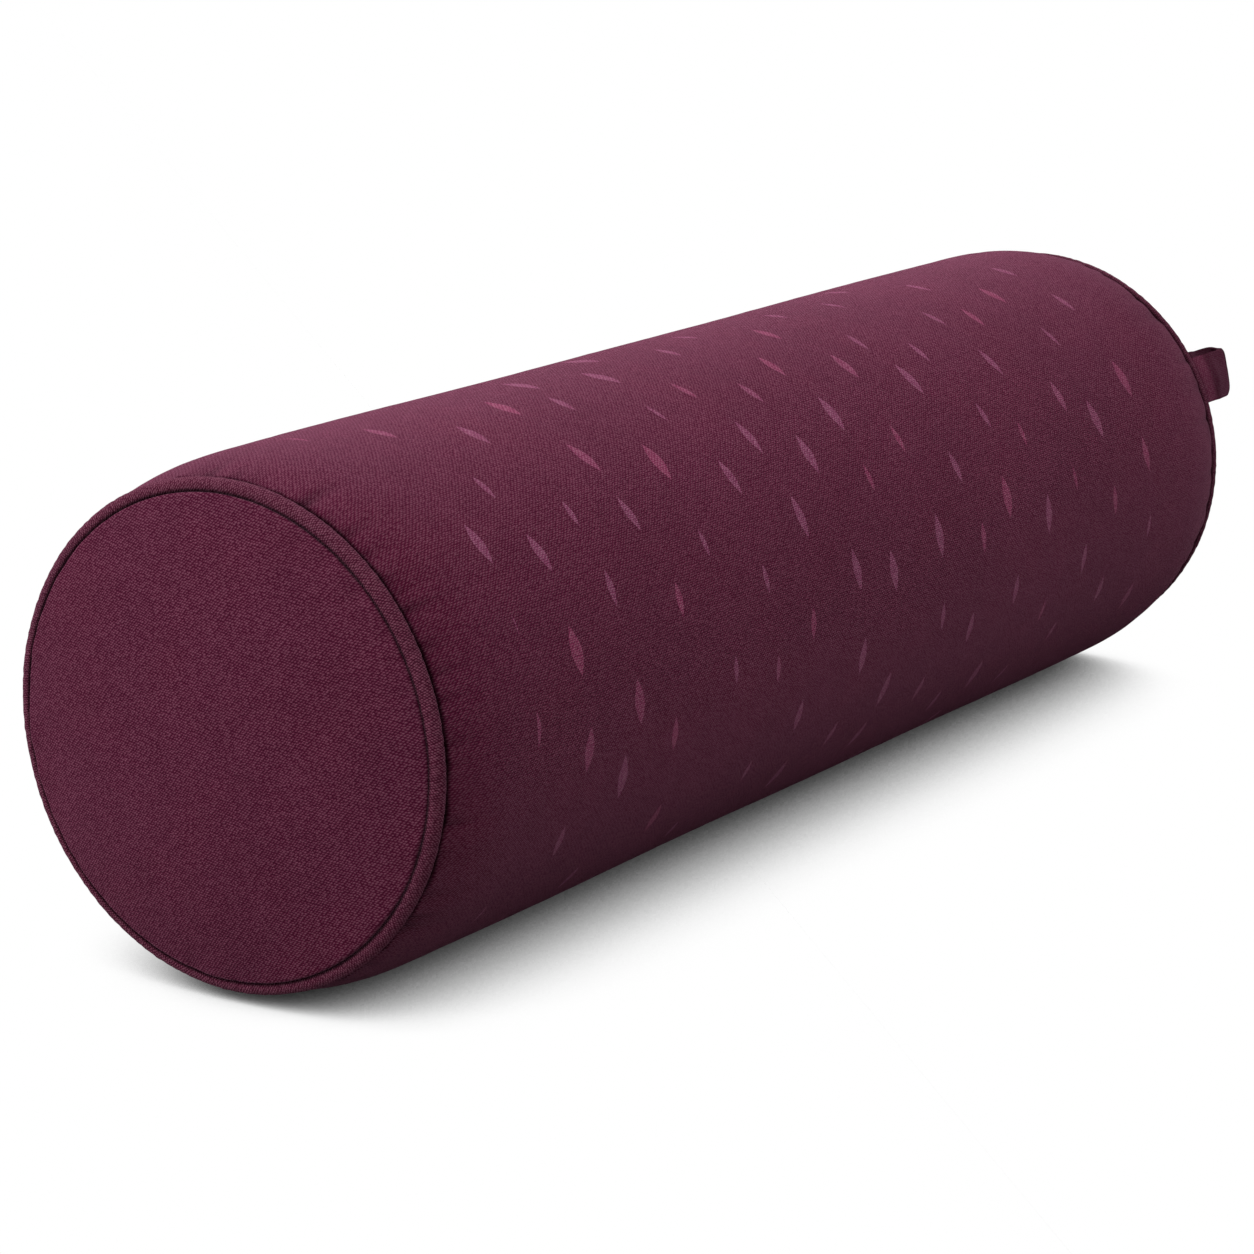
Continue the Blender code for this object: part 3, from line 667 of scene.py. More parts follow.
def barrel_half_rows():
    """(x, radius, fade) of the cover's outer face from the middle to the hem. fade is 1 in the open."""
    slope = math.atan(SHOULDER_DROP * SHOULDER_POWER / (SHOULDER_LENGTH - SHOULDER_BEND))
    last_x = BARREL_FACE_X - BARREL_FOLD * (1 - math.sin(slope))
    start_x = BARREL_FACE_X - COVER_WALL / 2 - SHOULDER_LENGTH
    xs = []
    ends = [start for start, _ in BARREL_ROWS[1:]] + [last_x]
    for (start, spacing), end in zip(BARREL_ROWS, ends):
        steps = max(1, round((end - start) / spacing))
        xs.extend(start + (end - start) * step / steps for step in range(steps))
    xs = np.array(xs + [last_x])
    share = np.clip((xs - start_x) / (last_x - start_x), 0, 1)
    radii = RADIUS - SHOULDER_DROP * share ** SHOULDER_POWER
    turns = np.linspace(slope, math.pi / 2, BARREL_FOLD_ROWS + 1)[1:]
    fold_x = last_x + BARREL_FOLD * (np.sin(turns) - math.sin(slope))
    fold_r = radii[-1] + BARREL_FOLD * (np.cos(turns) - math.cos(slope))
    hem_r = np.linspace(fold_r[-1], HEM_RADIUS, BARREL_HEM_ROWS + 1)[1:]
    x = np.concatenate([xs, fold_x, np.full(BARREL_HEM_ROWS, fold_x[-1])])
    r = np.concatenate([radii, fold_r, hem_r])
    fade = np.concatenate([np.ones(len(xs)), np.linspace(1, 0, BARREL_FOLD_ROWS), np.zeros(BARREL_HEM_ROWS)])
    return x, r, fade


def barrel_columns():
    """(angles from the zip's line, columns in half of the zip's band), all the way round from its band."""
    count = round(ZIP_BAND / ZIP_SPACING)
    beside = np.arctan2(np.arange(-count, count + 1) * ZIP_SPACING, ZIP_FACE)
    free = math.tau - 2 * beside[-1]
    steps = round(free * RADIUS / BARREL_SPACING)
    rest = beside[-1] + free * np.arange(1, steps) / steps
    return np.concatenate([beside, rest]), count


def bell(distance, size, width):
    return size * np.exp(-(distance / width) ** 2)


def zip_shape(x, from_zip):
    """Height that the cloth gains beside the zip: folded edges, and dips under the stitching."""
    stitched = np.abs(x) < SLOT_HALF_LENGTH + STITCH_OFFSET
    outside = np.maximum(np.abs(from_zip) - SLOT_HALF_WIDTH, np.abs(x) - SLOT_HALF_LENGTH)
    height, rise = ZIP_FOLD
    pillow = height * np.clip(outside / rise, 0, 1) ** 0.5 * np.clip(1 - outside / STITCH_OFFSET, 0, 1)
    covered = (outside > -1e-6) & stitched | (outside > 0)
    raised = covered * (pillow - bell(outside - STITCH_OFFSET, *STITCH_DIP))
    return raised - ~stitched * bell(from_zip, *ZIP_SEAM_GROOVE)


def barrel_swelling(seed):
    """The swelling of the printed panel between its seams."""
    x = np.linspace(-SWELLING_X, SWELLING_X, round(2 * SWELLING_X / CLOTH_STEP) + 1)[:, None]
    half_x, half_r, _ = barrel_half_rows()
    angles = full_turn(round(math.tau * RADIUS / CLOTH_STEP))
    start = ring_points(x, np.interp(np.abs(x), half_x, half_r), angles)
    return swollen(start, ring_points(x, RADIUS * CLOTH_SLACK, angles), seed, [0, -1])


def make_barrel(finish):
    """The printed panel: a tube of cloth with drawn-in ends and a zipped opening at the back."""
    x, r, fade = (np.concatenate([sign * half[:0:-1], half])[:, None]
                  for half, sign in zip(barrel_half_rows(), (-1, 1, 1)))
    from_zip_angles, band = barrel_columns()
    angles = ZIP_ANGLE + from_zip_angles
    from_zip = half_turn(from_zip_angles)
    distance = BARREL_FACE_X - np.abs(x)
    zipped = np.clip((SLOT_HALF_LENGTH + ZIP_EASE - np.abs(x)) / ZIP_EASE, 0, 1)
    facet = RADIUS - ZIP_FACE / np.cos(np.clip(from_zip, -ZIP_FACET_ANGLE, ZIP_FACET_ANGLE))
    calm = bell(from_zip * RADIUS, 1, ZIP_CALM)
    folds = sum((np.sign(x) == side) * puckers(distance, angles, RADIUS, seed)
                for side, seed in ((-1, 21), (1, 22)))
    field = barrel_swelling(23)
    field = read_field(field, (x[:, 0] / SWELLING_X + 1) / 2 * (len(field) - 1), angles)
    tangent = np.tan(np.clip(from_zip, -0.5, 0.5)) * ZIP_FACE
    proud = unevenness(x, angles) * (1 - 0.75 * calm) + field * (1 - 0.85 * calm)
    proud = fade * (proud + folds + zip_shape(x, tangent))
    radii = flattened(r - facet * zipped + proud, angles, AXIS_HEIGHT)
    v = np.append(from_zip_angles, from_zip_angles[0] + math.tau) * RADIUS
    wide = np.abs(np.arange(len(angles)) - band + 0.5) < SLOT_HALF_WIDTH / ZIP_SPACING
    holes = (np.abs(x[1:] + x[:-1]) / 2 < SLOT_HALF_LENGTH) & wide
    # painted shade: the cloth is darkened in the seam, beside it, along the shoulders and in the puckers'
    # valleys
    depth, reach = SEAM_PAINTED_SHADE
    painted_darkening = depth * np.clip(1 - distance / reach, 0, 1) ** 1.5
    for depth, reach in (NEAR_PAINTED_SHADE, SHOULDER_PAINTED_SHADE):
        painted_darkening = painted_darkening + depth * np.exp(-distance / reach)
    painted_darkening = painted_darkening + PUCKER_PAINTED_SHADE * np.clip(-folds / PUCKER_DEPTH, 0, 1)
    obj = grid_object("barrel_cloth", ring_points(x, radii, angles), (x, v), finish, holes=holes, painted_shade=painted_darkening)
    thicken(obj, COVER_WALL)
    stand_for(obj, "cover_barrel")


# The end panels and their piping

END_COLUMNS = 288
END_HEM_ROWS = 4
END_FOLD_ROWS = 9
END_UNEVEN = 0.0003
END_PUCKERS = (72, 0.00035, 0.008)       # count, depth and reach
# painted shade on the end panel: down the visible rows of its fold, and fading in from its rim
END_FOLD_PAINTED_SHADE = (0.70, 0.40, 0.20, 0.12, 0.10, 0.08)
END_RIM_PAINTED_SHADE = (0.07, 0.002)


def crown_x(radii):
    """How far past the seam the dome of an end panel's cloth lies, at its middle face."""
    return END_RIM_X + END_RISE * (1 - (radii / END_RIM_RADIUS) ** END_CROWN_POWER)


def end_rows():
    """(distance past the seam, radius, fade) of an end panel's outer face, from its hem to its middle."""
    hem_x = PIPING_STRIP + 1.5 * CLEARANCE
    fold_x = END_RIM_X - END_FOLD_RADIUS
    outer = END_FOLD_RADIUS + COVER_WALL / 2
    lean = math.asin((hem_x + COVER_WALL / 2) / END_HUG_RADIUS)
    hem_r = np.linspace(HEM_RADIUS, PIPING_RING_RADIUS - END_HUG_RADIUS * math.cos(lean), END_HEM_ROWS)
    turns = np.radians(np.linspace(180, 20, END_FOLD_ROWS))
    radii = END_RIM_RADIUS * np.concatenate([np.linspace(0.995, 0.90, 14), np.linspace(0.885, 0.05, 42)])
    crown = crown_x(radii) + COVER_WALL / 2
    x = np.concatenate([np.full(END_HEM_ROWS, hem_x), fold_x + outer * np.cos(turns), crown])
    r = np.concatenate([hem_r, END_RIM_RADIUS + outer * np.sin(turns), radii])
    fade = np.concatenate([np.zeros(END_HEM_ROWS), np.linspace(0, 1, END_FOLD_ROWS), np.ones(len(radii))])
    return x, r, fade


def end_swelling(x, r, seed):
    """(the swelling of an end panel's dome, its radii from the rim inwards)."""
    rows = round(END_RIM_RADIUS * 0.9 / CLOTH_STEP)
    radii = np.linspace(END_RIM_RADIUS, END_RIM_RADIUS * 0.06, rows)[:, None]
    angles = full_turn(round(math.tau * END_RIM_RADIUS / CLOTH_STEP))
    start = ring_points(np.interp(-radii, -r, x), radii, angles)
    return swollen(start, ring_points(0.0, radii * CLOTH_SLACK, angles), seed, [0]), radii


def make_end(name, node, side, seed, finish):
    """A round end panel: a shallow dome of cloth, eased into the seam round its rim."""
    x, r, fade = (values[:, None] for values in end_rows())
    angles = full_turn(END_COLUMNS)
    distance = END_RIM_RADIUS - r
    y = -np.sin(angles) * r
    z = np.cos(angles) * r
    swell = sum(strength * np.sin(along * (y * math.cos(turns) + z * math.sin(turns)) + phase)
                for strength, along, turns, phase in low_points(9, (18.0, 60.0), seed)) / 3
    crown = END_HEM_ROWS + END_FOLD_ROWS
    field, trial_r = end_swelling(x[crown:, 0], r[crown:, 0], seed)
    across = distance / (trial_r[0] - trial_r[-1]) * (len(field) - 1)
    field = read_field(field, across[:, 0], angles) * np.clip(r / END_RIM_RADIUS * 3 - 0.3, 0, 1)
    folds = puckers(distance, angles, END_RIM_RADIUS, seed, *END_PUCKERS)
    proud = fade * (END_UNEVEN * swell + field + folds)
    points = ring_points(side * (SEAM_X + x + proud), r, angles)
    middle = np.broadcast_to(points[-1].mean(0), (1, END_COLUMNS, 3))
    points = np.concatenate([points, middle])[:, ::side]
    cloth = closed(points)
    # painted shade: hidden hem and fold rows fully dark, the visible fold darker towards the seam, and a
    # faint darkening in from the rim
    depth, reach = END_RIM_PAINTED_SHADE
    rim = depth * np.exp(-np.maximum(distance[crown:, 0], 0) / reach)
    hidden = np.ones(crown - len(END_FOLD_PAINTED_SHADE))
    painted_darkening = np.concatenate([hidden, END_FOLD_PAINTED_SHADE, rim, [0.0]])[:, None]
    obj = grid_object(name, points, (cloth[..., 1], cloth[..., 2]), finish, painted_shade=painted_darkening)
    weld(obj)
    thicken(obj, COVER_WALL)
    stand_for(obj, node)


PIPING_COLUMNS = 540
PIPING_ROWS = 19
PIPING_HEM_ROWS = 3
PIPING_RIPPLES = ((97, 1), (131, 2), (158, 1), (74, 1), (113, 2), (189, 2))      # count and slant
PIPING_SWELLS = (3, 5, 8, 11, 17, 23)
PIPING_RIPPLE_DEPTH = 0.000035
PIPING_SWELL_DEPTH = 0.00003
PIPING_WAVE_DEPTH = 0.00006


def make_piping(name, node, side, seed, finish):
    """A bias strip sewn round its cord: a slim tube with faint slanted ripples, and its hidden hem."""
    spread = (PIPING_STRIP + CLEARANCE) / 2 + PIPING_STRIP / 2
    opening = math.asin(spread / PIPING_RADIUS)
    turns = -math.pi / 2 + np.linspace(-opening, opening - math.tau, PIPING_ROWS)[:, None]
    angles = full_turn(PIPING_COLUMNS)
    phases = np.random.default_rng(seed).uniform(0, math.tau, len(PIPING_RIPPLES))
    ripple = sum(np.sin(count * angles + slant * turns + phase)
                 for (count, slant), phase in zip(PIPING_RIPPLES, phases))
    swell = sum(np.sin(count * angles + phase) for count, phase in zip(PIPING_SWELLS, phases))
    tube = PIPING_RADIUS + PIPING_RIPPLE_DEPTH * ripple + PIPING_SWELL_DEPTH * swell
    ring = PIPING_RING_RADIUS + PIPING_WAVE_DEPTH * np.sin(4 * angles + phases[0])
    hem = np.linspace(HEM_RADIUS, PIPING_RING_RADIUS - PIPING_RADIUS, PIPING_HEM_ROWS)[:, None]
    hem = np.broadcast_to(hem, (PIPING_HEM_ROWS, PIPING_COLUMNS))
    edge = np.full(hem.shape, side * spread)
    across = np.concatenate([-edge, side * tube * np.cos(turns), edge])
    radii = np.concatenate([hem, ring + tube * np.sin(turns), hem[::-1]])
    points = ring_points(side * SEAM_X + across, radii, angles)[:, ::-side]
    u = np.arange(PIPING_COLUMNS + 1) * math.tau * PIPING_RING_RADIUS / PIPING_COLUMNS
    v = np.arange(len(points))[:, None] * PIPING_RADIUS * math.tau / (PIPING_ROWS - 1)
    crown = -(turns + 1.5 * math.pi)     # from the bead's outermost line, above 0 towards the end panel
    # painted shade on the bead's flanks, towards the end panel and towards the barrel, so that the bead reads
    # round; the hidden hem rows fully dark
    flank_painted_shade = np.clip((crown - 1.6) / 0.45, 0, 1) + 0.9 * np.clip((-crown - 0.1) / 0.9, 0, 1)
    hidden = np.ones((PIPING_HEM_ROWS, 1))
    painted_darkening = np.concatenate([hidden, np.minimum(flank_painted_shade, 1), hidden])
    obj = grid_object(name, points, (u, v), finish, painted_shade=painted_darkening)
    thicken(obj, PIPING_STRIP)
    stand_for(obj, node)


# The loop tab, in its own frame: x along the roll, y outwards, z down along the rim
LOOP_PLACE = Vector(JOINTS["loop_bend"]["pos_m"])
LOOP_OUT = Vector((0, LOOP_PLACE.y, LOOP_PLACE.z - AXIS_HEIGHT))
LOOP_PIVOT_RADIUS = LOOP_OUT.length
LOOP_LENGTH = 0.033
LOOP_HALF_WIDTH = 0.0123
LOOP_PLY = 0.0011
LOOP_TWIST = math.radians(15.0)
LOOP_TIP = (0.0205, 0.007)       # where the strip starts to narrow, and over which length
LOOP_NARROWING = (0.0008, 0.0014)        # of its upper and its lower edge, at the tip
LOOP_CORNER = (0.0155, 0.0113)   # where its corners start to round off, and over which length
LOOP_CORNER_CUT = 0.0030
LOOP_MIDDLE_Y = 0.0003
LOOP_SQUEEZE = 0.45              # how much its lower edge is pressed together
LOOP_RIPPLE = 0.0002
LOOP_LINE = (                    # the strip's middle, from its outer ply round the tip to its inner ply, mm
    (-2.8, -3.3, 2.2), (-2.6, -2.1, 2.2), (-2.6, -0.8, 2.2), (-2.7, 0.4, 2.2), (-2.0, 1.6, 2.2),
    (-0.2, 2.7, 2.2), (2.6, 3.8, 2.3), (5.5, 4.6, 2.4), (8.0, 4.7, 2.3), (11.0, 4.3, 2.2), (14.5, 3.8, 2.1),
    (18.2, 3.5, 2.0), (21.9, 3.4, 1.8), (24.7, 3.1, 1.6), (26.7, 2.0, 1.2), (27.4, 0.3, 0.9),
    (26.8, -1.7, 0.3), (24.4, -3.1, -0.2), (19.5, -3.6, -0.6), (13.5, -3.4, -1.0), (8.3, -2.8, -1.2),
    (4.6, -1.9, -1.5), (1.6, -1.2, -1.7), (-0.4, -1.1, -1.7), (-1.3, -1.9, -1.7), (-1.5, -3.3, -1.7))


def smooth_line(points, steps):
    """A smooth curve through points, with this many steps between each two."""
    points = np.array(points, float)
    padded = np.concatenate([[2 * points[0] - points[1]], points, [2 * points[-1] - points[-2]]])
    found = [catmull(*four, step / steps) for four in zip(padded, padded[1:], padded[2:], padded[3:])
             for step in range(steps)]
    return np.array(found + [points[-1]])


def share_past(x, start, length):
    """0 before start, 1 once length past it."""
    return np.clip((x - start) / length, 0, 1)


def make_loop(finish):
    """A doubled strip of cloth folded to a loop, puffed open, with its cut ends in the seam."""
    line = smooth_line(LOOP_LINE, 5) / 1000
    lengths = np.concatenate([[0], np.cumsum(np.linalg.norm(np.diff(line, axis=0), axis=1))])
    widths = np.linspace(-1, 1, 25)
    lower = np.clip(widths, 0, 1)
    x, y, middle = line[:, :1], line[:, 1:2], line[:, 2:]
    loose = share_past(x, 0, LOOP_LENGTH)
    narrowing = np.where(widths > 0, LOOP_NARROWING[1], LOOP_NARROWING[0])
    z = widths * (LOOP_HALF_WIDTH - narrowing * share_past(x, *LOOP_TIP) ** 3) + middle
    x = x - share_past(x, *LOOP_CORNER) * LOOP_CORNER_CUT * widths ** 8
    squeeze = LOOP_SQUEEZE * share_past(x, -0.003, 0.002) * lower ** 1.5
    y = LOOP_MIDDLE_Y + (y - LOOP_MIDDLE_Y) * (1 - squeeze)
    sag = LOOP_PIVOT_RADIUS - np.sqrt(LOOP_PIVOT_RADIUS ** 2 - z ** 2)
    y = y - sag * (1 - loose) + LOOP_RIPPLE * np.sin(z * 210 + 1.3) * np.sin(x * 180) * (1 - widths ** 6)
    turn = LOOP_TWIST * loose * loose * (3 - 2 * loose)
    y, z = y * np.cos(turn) - z * np.sin(turn), y * np.sin(turn) + z * np.cos(turn)
    out = LOOP_OUT.normalized()
    axes = np.array([ALONG, out, ALONG.cross(out)])
    points = np.array(LOOP_PLACE) + np.stack(np.broadcast_arrays(x, y, z), -1) @ axes
    outer = np.arange(len(line))[:, None] < len(line) / 2
    # painted shade: the outer ply is darkened past a light band beside the seam, a little less towards the
    # tip, and the inner ply is darkened inside the loop
    shade = 0.52 * share_past(x, 0, 0.0035) - 0.15 * share_past(x, 0.012, 0.012)
    obj = grid_object("loop_cloth", points, (lengths[:, None], widths * LOOP_HALF_WIDTH), finish, None, False,
                      painted_shade=np.where(outer, shade, 0.65))
    thicken(obj, LOOP_PLY, 0.0)
    ease(obj, 0.00035, 50)
    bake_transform(obj)
    stand_for(obj, "loop_tab")


# The zip, in its own frame: x along the roll, y down the cover's face, z outwards from its facet

COIL_PITCH = 0.0014
COIL_WIRE = 0.00042
COIL_TURN_STEPS = 10
COIL_WIRE_SIDES = 5
COIL_MIDDLE_GAP = 0.00005
TAPE_STEPS = 260
TAPE_RIB_HEIGHT = 0.00006
STITCH_LENGTH = 0.0029
STITCH_STEP = 0.0036
STITCH_ARCH = 0.00022
STITCH_SINK = 0.00020
STITCH_FALL = 0.0475             # how the cloth falls away from the facet's middle
THREAD_RADIUS = 0.00024
THREAD_RINGS = 7
THREAD_SIDES = 6


def zip_points(local):
    axes = np.array([ALONG, ZIP_DOWN, ZIP_OUT])
    origin = np.array((0, 0, AXIS_HEIGHT)) + ZIP_FACE * np.array(ZIP_OUT)
    return origin + np.asarray(local) @ axes


def unit(vectors):
    return vectors / np.linalg.norm(vectors, axis=1)[:, None]


def squared(wave, power):
    """A wave with fuller tops."""
    return np.abs(wave) ** power * np.sign(wave)


def make_coil(name, node, side, finish):
    """One nylon coil: a flattened spiral whose heads reach the middle of the chain."""
    low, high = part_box(node)
    turns = int((high.x - low.x - 2 * COIL_WIRE) / COIL_PITCH)
    steps = np.arange(turns * COIL_TURN_STEPS + 1)
    turn = steps * math.tau / COIL_TURN_STEPS
    x = low.x + COIL_WIRE + COIL_PITCH * (steps / COIL_TURN_STEPS + (1 + side) / 4)
    half_wide = (COIL_GAP + COIL_WIDTH - COIL_WIRE) / 2
    half_thick = COIL_THICKNESS / 2 - COIL_WIRE
    y = side * (half_wide + COIL_MIDDLE_GAP + half_wide * squared(np.cos(turn), 0.7))
    z = COIL_THICKNESS / 2 - COVER_WALL + half_thick * squared(np.sin(turn), 0.6)
    line = np.stack([x, y, z], -1)
    ahead = unit(np.gradient(line, axis=0))
    aside = unit(np.cross(ahead, (1.0, 0.0, 0.0)))
    above = np.cross(aside, ahead)
    sides = full_turn(COIL_WIRE_SIDES)[:, None]
    tube = line[:, None] + COIL_WIRE * (np.cos(sides) * aside[:, None] + np.sin(sides) * above[:, None])
    u = np.arange(len(line))[:, None] * 0.0005
    v = np.arange(COIL_WIRE_SIDES + 1) * 0.0005
    stand_for(grid_object(name, zip_points(tube), (u, v), finish), node)


def make_tape(name, node, side, finish):
    """One half of the zip's tape, under the cloth's folded edge."""
    low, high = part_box(node)
    xs = np.linspace(low.x, high.x, TAPE_STEPS)[:, None]
    ribbed = np.linspace(COIL_GAP, 0.0095, 18)
    across = np.concatenate([ribbed, np.linspace(0.0100, COIL_GAP + TAPE_WIDTH, 5)])
    facet_half = RADIUS * math.sin(ZIP_FACET_ANGLE)
    past = np.maximum(across - facet_half, 0)
    rib = TAPE_RIB_HEIGHT * np.sin(across * math.tau / TAPE_RIB)
    y = side * (np.minimum(across, facet_half) + past * math.cos(2 * ZIP_FACET_ANGLE))
    z = rib - COVER_WALL - CLEARANCE - past * math.sin(2 * ZIP_FACET_ANGLE)
    local = np.stack(np.broadcast_arrays(xs, y, z), -1)[:, ::-side]
    obj = grid_object(name, zip_points(local), (xs, across), finish, wrap=False)
    thicken(obj, TAPE_THICKNESS)
    stand_for(obj, node)


def make_topstitch(finish):
    """The row of stitches that holds the tapes, all round the opening."""
    reach_x = SLOT_HALF_LENGTH + STITCH_OFFSET
    reach_y = SLOT_HALF_WIDTH + STITCH_OFFSET

    def evenly(reach):
        count = int(2 * reach / STITCH_STEP)
        return [-reach + (number + 0.5) * 2 * reach / count for number in range(count)]

    along = np.linspace(-1, 1, THREAD_RINGS)[:, None]
    sides = full_turn(THREAD_SIDES)
    thick = THREAD_RADIUS * np.sqrt(np.clip(1 - along ** 6, 0.04, 1))
    lift = STITCH_ARCH * (1 - along ** 2) + thick * np.sin(sides)
    stitch = np.stack(np.broadcast_arrays(along * STITCH_LENGTH / 2, thick * np.cos(sides), lift), -1)
    index = np.arange(THREAD_RINGS * THREAD_SIDES).reshape(THREAD_RINGS, THREAD_SIDES)
    skin = [*quads(closed(index)).reshape(-1, 4), index[0], index[-1, ::-1]]
    vertices, faces = [], []
    for edge in (-1, 1):
        places = [(x, edge * reach_y, stitch) for x in evenly(reach_x)]
        places += [(edge * reach_x, y, stitch[..., [1, 0, 2]]) for y in evenly(reach_y)]
        for x, y, shape in places:
            faces += [(len(vertices) * index.size + face).tolist() for face in skin]
            vertices.append(shape + (x, y, -STITCH_FALL * y ** 2 / ZIP_FACE - STITCH_SINK))
    mesh = new_mesh("zip_topstitch", zip_points(vertices), faces, finish)
    mesh.validate()
    mesh.shade_smooth()
    obj = placed("zip_topstitch", mesh)
    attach(obj, "root")


def soften_metal(finish):
    """The zip's metal pieces keep their shape, with eased edges and a plated finish."""
    for name, width in (("zip_slider", 0.00025), ("zip_pull", 0.0003), ("zip_stop_upper", 0.0003),
                        ("zip_stop_lower", 0.0003), ("zip_stop_end", 0.0004)):
        node = frame["nodes"][name]
        node.data.materials.clear()
        node.data.materials.append(finish)
        ease(node, width, 40)


# Hidden layers

INNER_COLUMNS = 144
CORE_STEPS = 60
CORE_RINGS = 8
WRAP_STEPS = 40
CROWN_STEPS = 26
NECK_MARGIN = 0.004              # the layers' outer faces stop this far outside the neck
INNER_UNEVEN = 0.0002            # at most
ZIP_RECESS = 0.0025              # how far the filling gives way behind the slider
RECESS_ROUND = (-0.025, 0.017)   # where that starts beside the zip's line, and over which length it grows
RECESS_ALONG = (-0.026, 0.014)   # the same past the opening's ends
CORD_COLUMNS = 480
CORD_SIDES = 18
CORD_LAY = 0.16                  # how deep the hollows between the cord's strands are


def behind_zip(x, angles):
    """From 0 to 1, how much the filling gives way behind the zip's tapes and slider."""
    across = np.abs(half_turn(angles - ZIP_ANGLE)) * RADIUS
    beyond = np.abs(x) - SLOT_HALF_LENGTH
    return share_past(-across, *RECESS_ROUND) * share_past(-beyond, *RECESS_ALONG)


def turned_layer(name, node, rows, finish):
    """A layer inside the cover, turned from rows of (x, radius)."""
    x, r = np.array(rows).T
    steps = np.concatenate([[0], np.cumsum(np.hypot(np.diff(x), np.diff(r)))])[:, None]
    x, radii = x[:, None], r[:, None]
    angles = full_turn(INNER_COLUMNS)
    uneven = share_past(radii, 0.06, 0.04) * np.minimum(unevenness(x, angles), INNER_UNEVEN)
    recess = ZIP_RECESS * behind_zip(x, angles) * share_past(radii + uneven, 0.095, 0.008)
    radii = flattened(radii + uneven - recess, angles, AXIS_HEIGHT - COVER_WALL - CLEARANCE)
    v = np.arange(INNER_COLUMNS + 1) * math.tau * RADIUS / INNER_COLUMNS
    obj = grid_object(name, ring_points(x, np.maximum(radii, 0.0), angles), (steps, v), finish)
    return stand_for(obj, node)


def barrel_rows_inset(inset):
    x, r, _ = barrel_half_rows()
    keep = r > LINER_NECK_RADIUS + NECK_MARGIN
    scale_x = (BARREL_FACE_X - inset) / BARREL_FACE_X
    return list(zip(x[keep][::3] * scale_x, r[keep][::3] - inset))


def crown_rows(inset, outermost):
    radii = np.linspace(outermost, 0.0, CROWN_STEPS)
    return list(zip(SEAM_X + crown_x(radii) - inset, radii))


def both_ways(half):
    return [(-x, r) for x, r in reversed(half)] + half


def on_side(rows, side):
    return [(side * x, r) for x, r in rows][::side]


def make_inside(cotton, batting, foam, cord):
    """Liner, batting, core and filler cords, each inside the space that its solid holds."""
    liner_inset = COVER_WALL + CLEARANCE
    half = barrel_rows_inset(liner_inset)
    neck_x = half[-1][0] + 0.0003
    half.append((neck_x, LINER_NECK_RADIUS - LINER_WALL))
    liner = turned_layer("liner_cloth", "liner_barrel", both_ways(half), cotton)
    thicken(liner, LINER_WALL)

    end_x = neck_x - LINER_WALL - CLEARANCE
    inner = CORE_RADIUS + CLEARANCE
    wrap = [(x, r) for x, r in barrel_rows_inset(liner_inset + LINER_WALL + CLEARANCE) if x < end_x - 0.001]
    wrap += [(end_x, wrap[-1][1] - 0.0012), (end_x, inner)]
    bore = [(end_x - 2 * end_x * step / WRAP_STEPS, inner) for step in range(1, WRAP_STEPS + 1)]
    roll = turned_layer("batting_roll", "batting_wrap", both_ways(wrap) + bore, batting)
    weld(roll, 0.00005)

    face = [(-end_x, CORE_RADIUS * step / CORE_RINGS) for step in range(CORE_RINGS)]
    side_rows = [(-end_x + 2 * end_x * step / CORE_STEPS, CORE_RADIUS) for step in range(CORE_STEPS + 1)]
    centre = turned_layer("foam_roll", "foam_core", face + side_rows + on_side(face, -1), foam)
    weld(centre)

    pad_radius = LINER_NECK_RADIUS - LINER_WALL - CLEARANCE
    pad_x = end_x + CLEARANCE
    for name, side in (("near", -1), ("far", 1)):
        crown = crown_rows(COVER_WALL / 2 + CLEARANCE, LINER_NECK_RADIUS - 0.0025)
        rim_x = crown[0][0]
        rim = [(neck_x + LINER_WALL + CLEARANCE, LINER_NECK_RADIUS), (rim_x - 0.004, LINER_NECK_RADIUS),
               (rim_x - 0.0016, LINER_NECK_RADIUS - 0.0005)]
        disc = turned_layer("liner_disc_" + name, "liner_end_" + name,
                            on_side(rim + crown, side), cotton)
        weld(disc)
        thicken(disc, LINER_WALL)

        crown = crown_rows(COVER_WALL / 2 + LINER_WALL + 2 * CLEARANCE, pad_radius - 0.003)
        rim = [(pad_x, 0.0), (pad_x, pad_radius * 0.5), (pad_x, pad_radius - 0.001),
               (pad_x + 0.001, pad_radius), (crown[0][0] - 0.003, pad_radius)]
        pad = turned_layer("batting_pad_" + name, "batting_end_" + name,
                           on_side(rim + crown, side), batting)
        weld(pad)
        make_cord("piping_filler_" + name, "piping_cord_" + name, side, cord)


def make_cord(name, node, side, finish):
    """The twisted cotton cord inside the piping: three strands."""
    turns = full_turn(CORD_SIDES)[:, None]
    angles = full_turn(CORD_COLUMNS)
    radius = PIPING_RADIUS - PIPING_STRIP - CLEARANCE
    lay = np.abs(np.cos(1.5 * (turns + 60 * angles)))
    tube = radius * (1 - CORD_LAY + CORD_LAY * lay)
    radii = PIPING_RING_RADIUS + tube * np.sin(turns)
    points = ring_points(side * SEAM_X + tube * np.cos(turns), radii, angles)
    u = np.arange(CORD_COLUMNS + 1)[:, None] * math.tau * PIPING_RING_RADIUS / CORD_COLUMNS
    v = np.arange(CORD_SIDES + 1) * radius * math.tau / CORD_SIDES
    obj = grid_object(name, closed(points).transpose(1, 0, 2), (u, v), finish)
    weld(obj)
    stand_for(obj, node)


# Camera, light and floor

VIEW_BACK = Vector((-0.8162, -0.5257, 0.2398)).normalized()
VIEW_ASIDE = Vector((0.5415, -0.8407, 0.0)).normalized()
VIEW_DISTANCE = 1.8671
VIEW_SHIFT = (-0.03099, -0.02637)
VIEW_LENS = 115.06

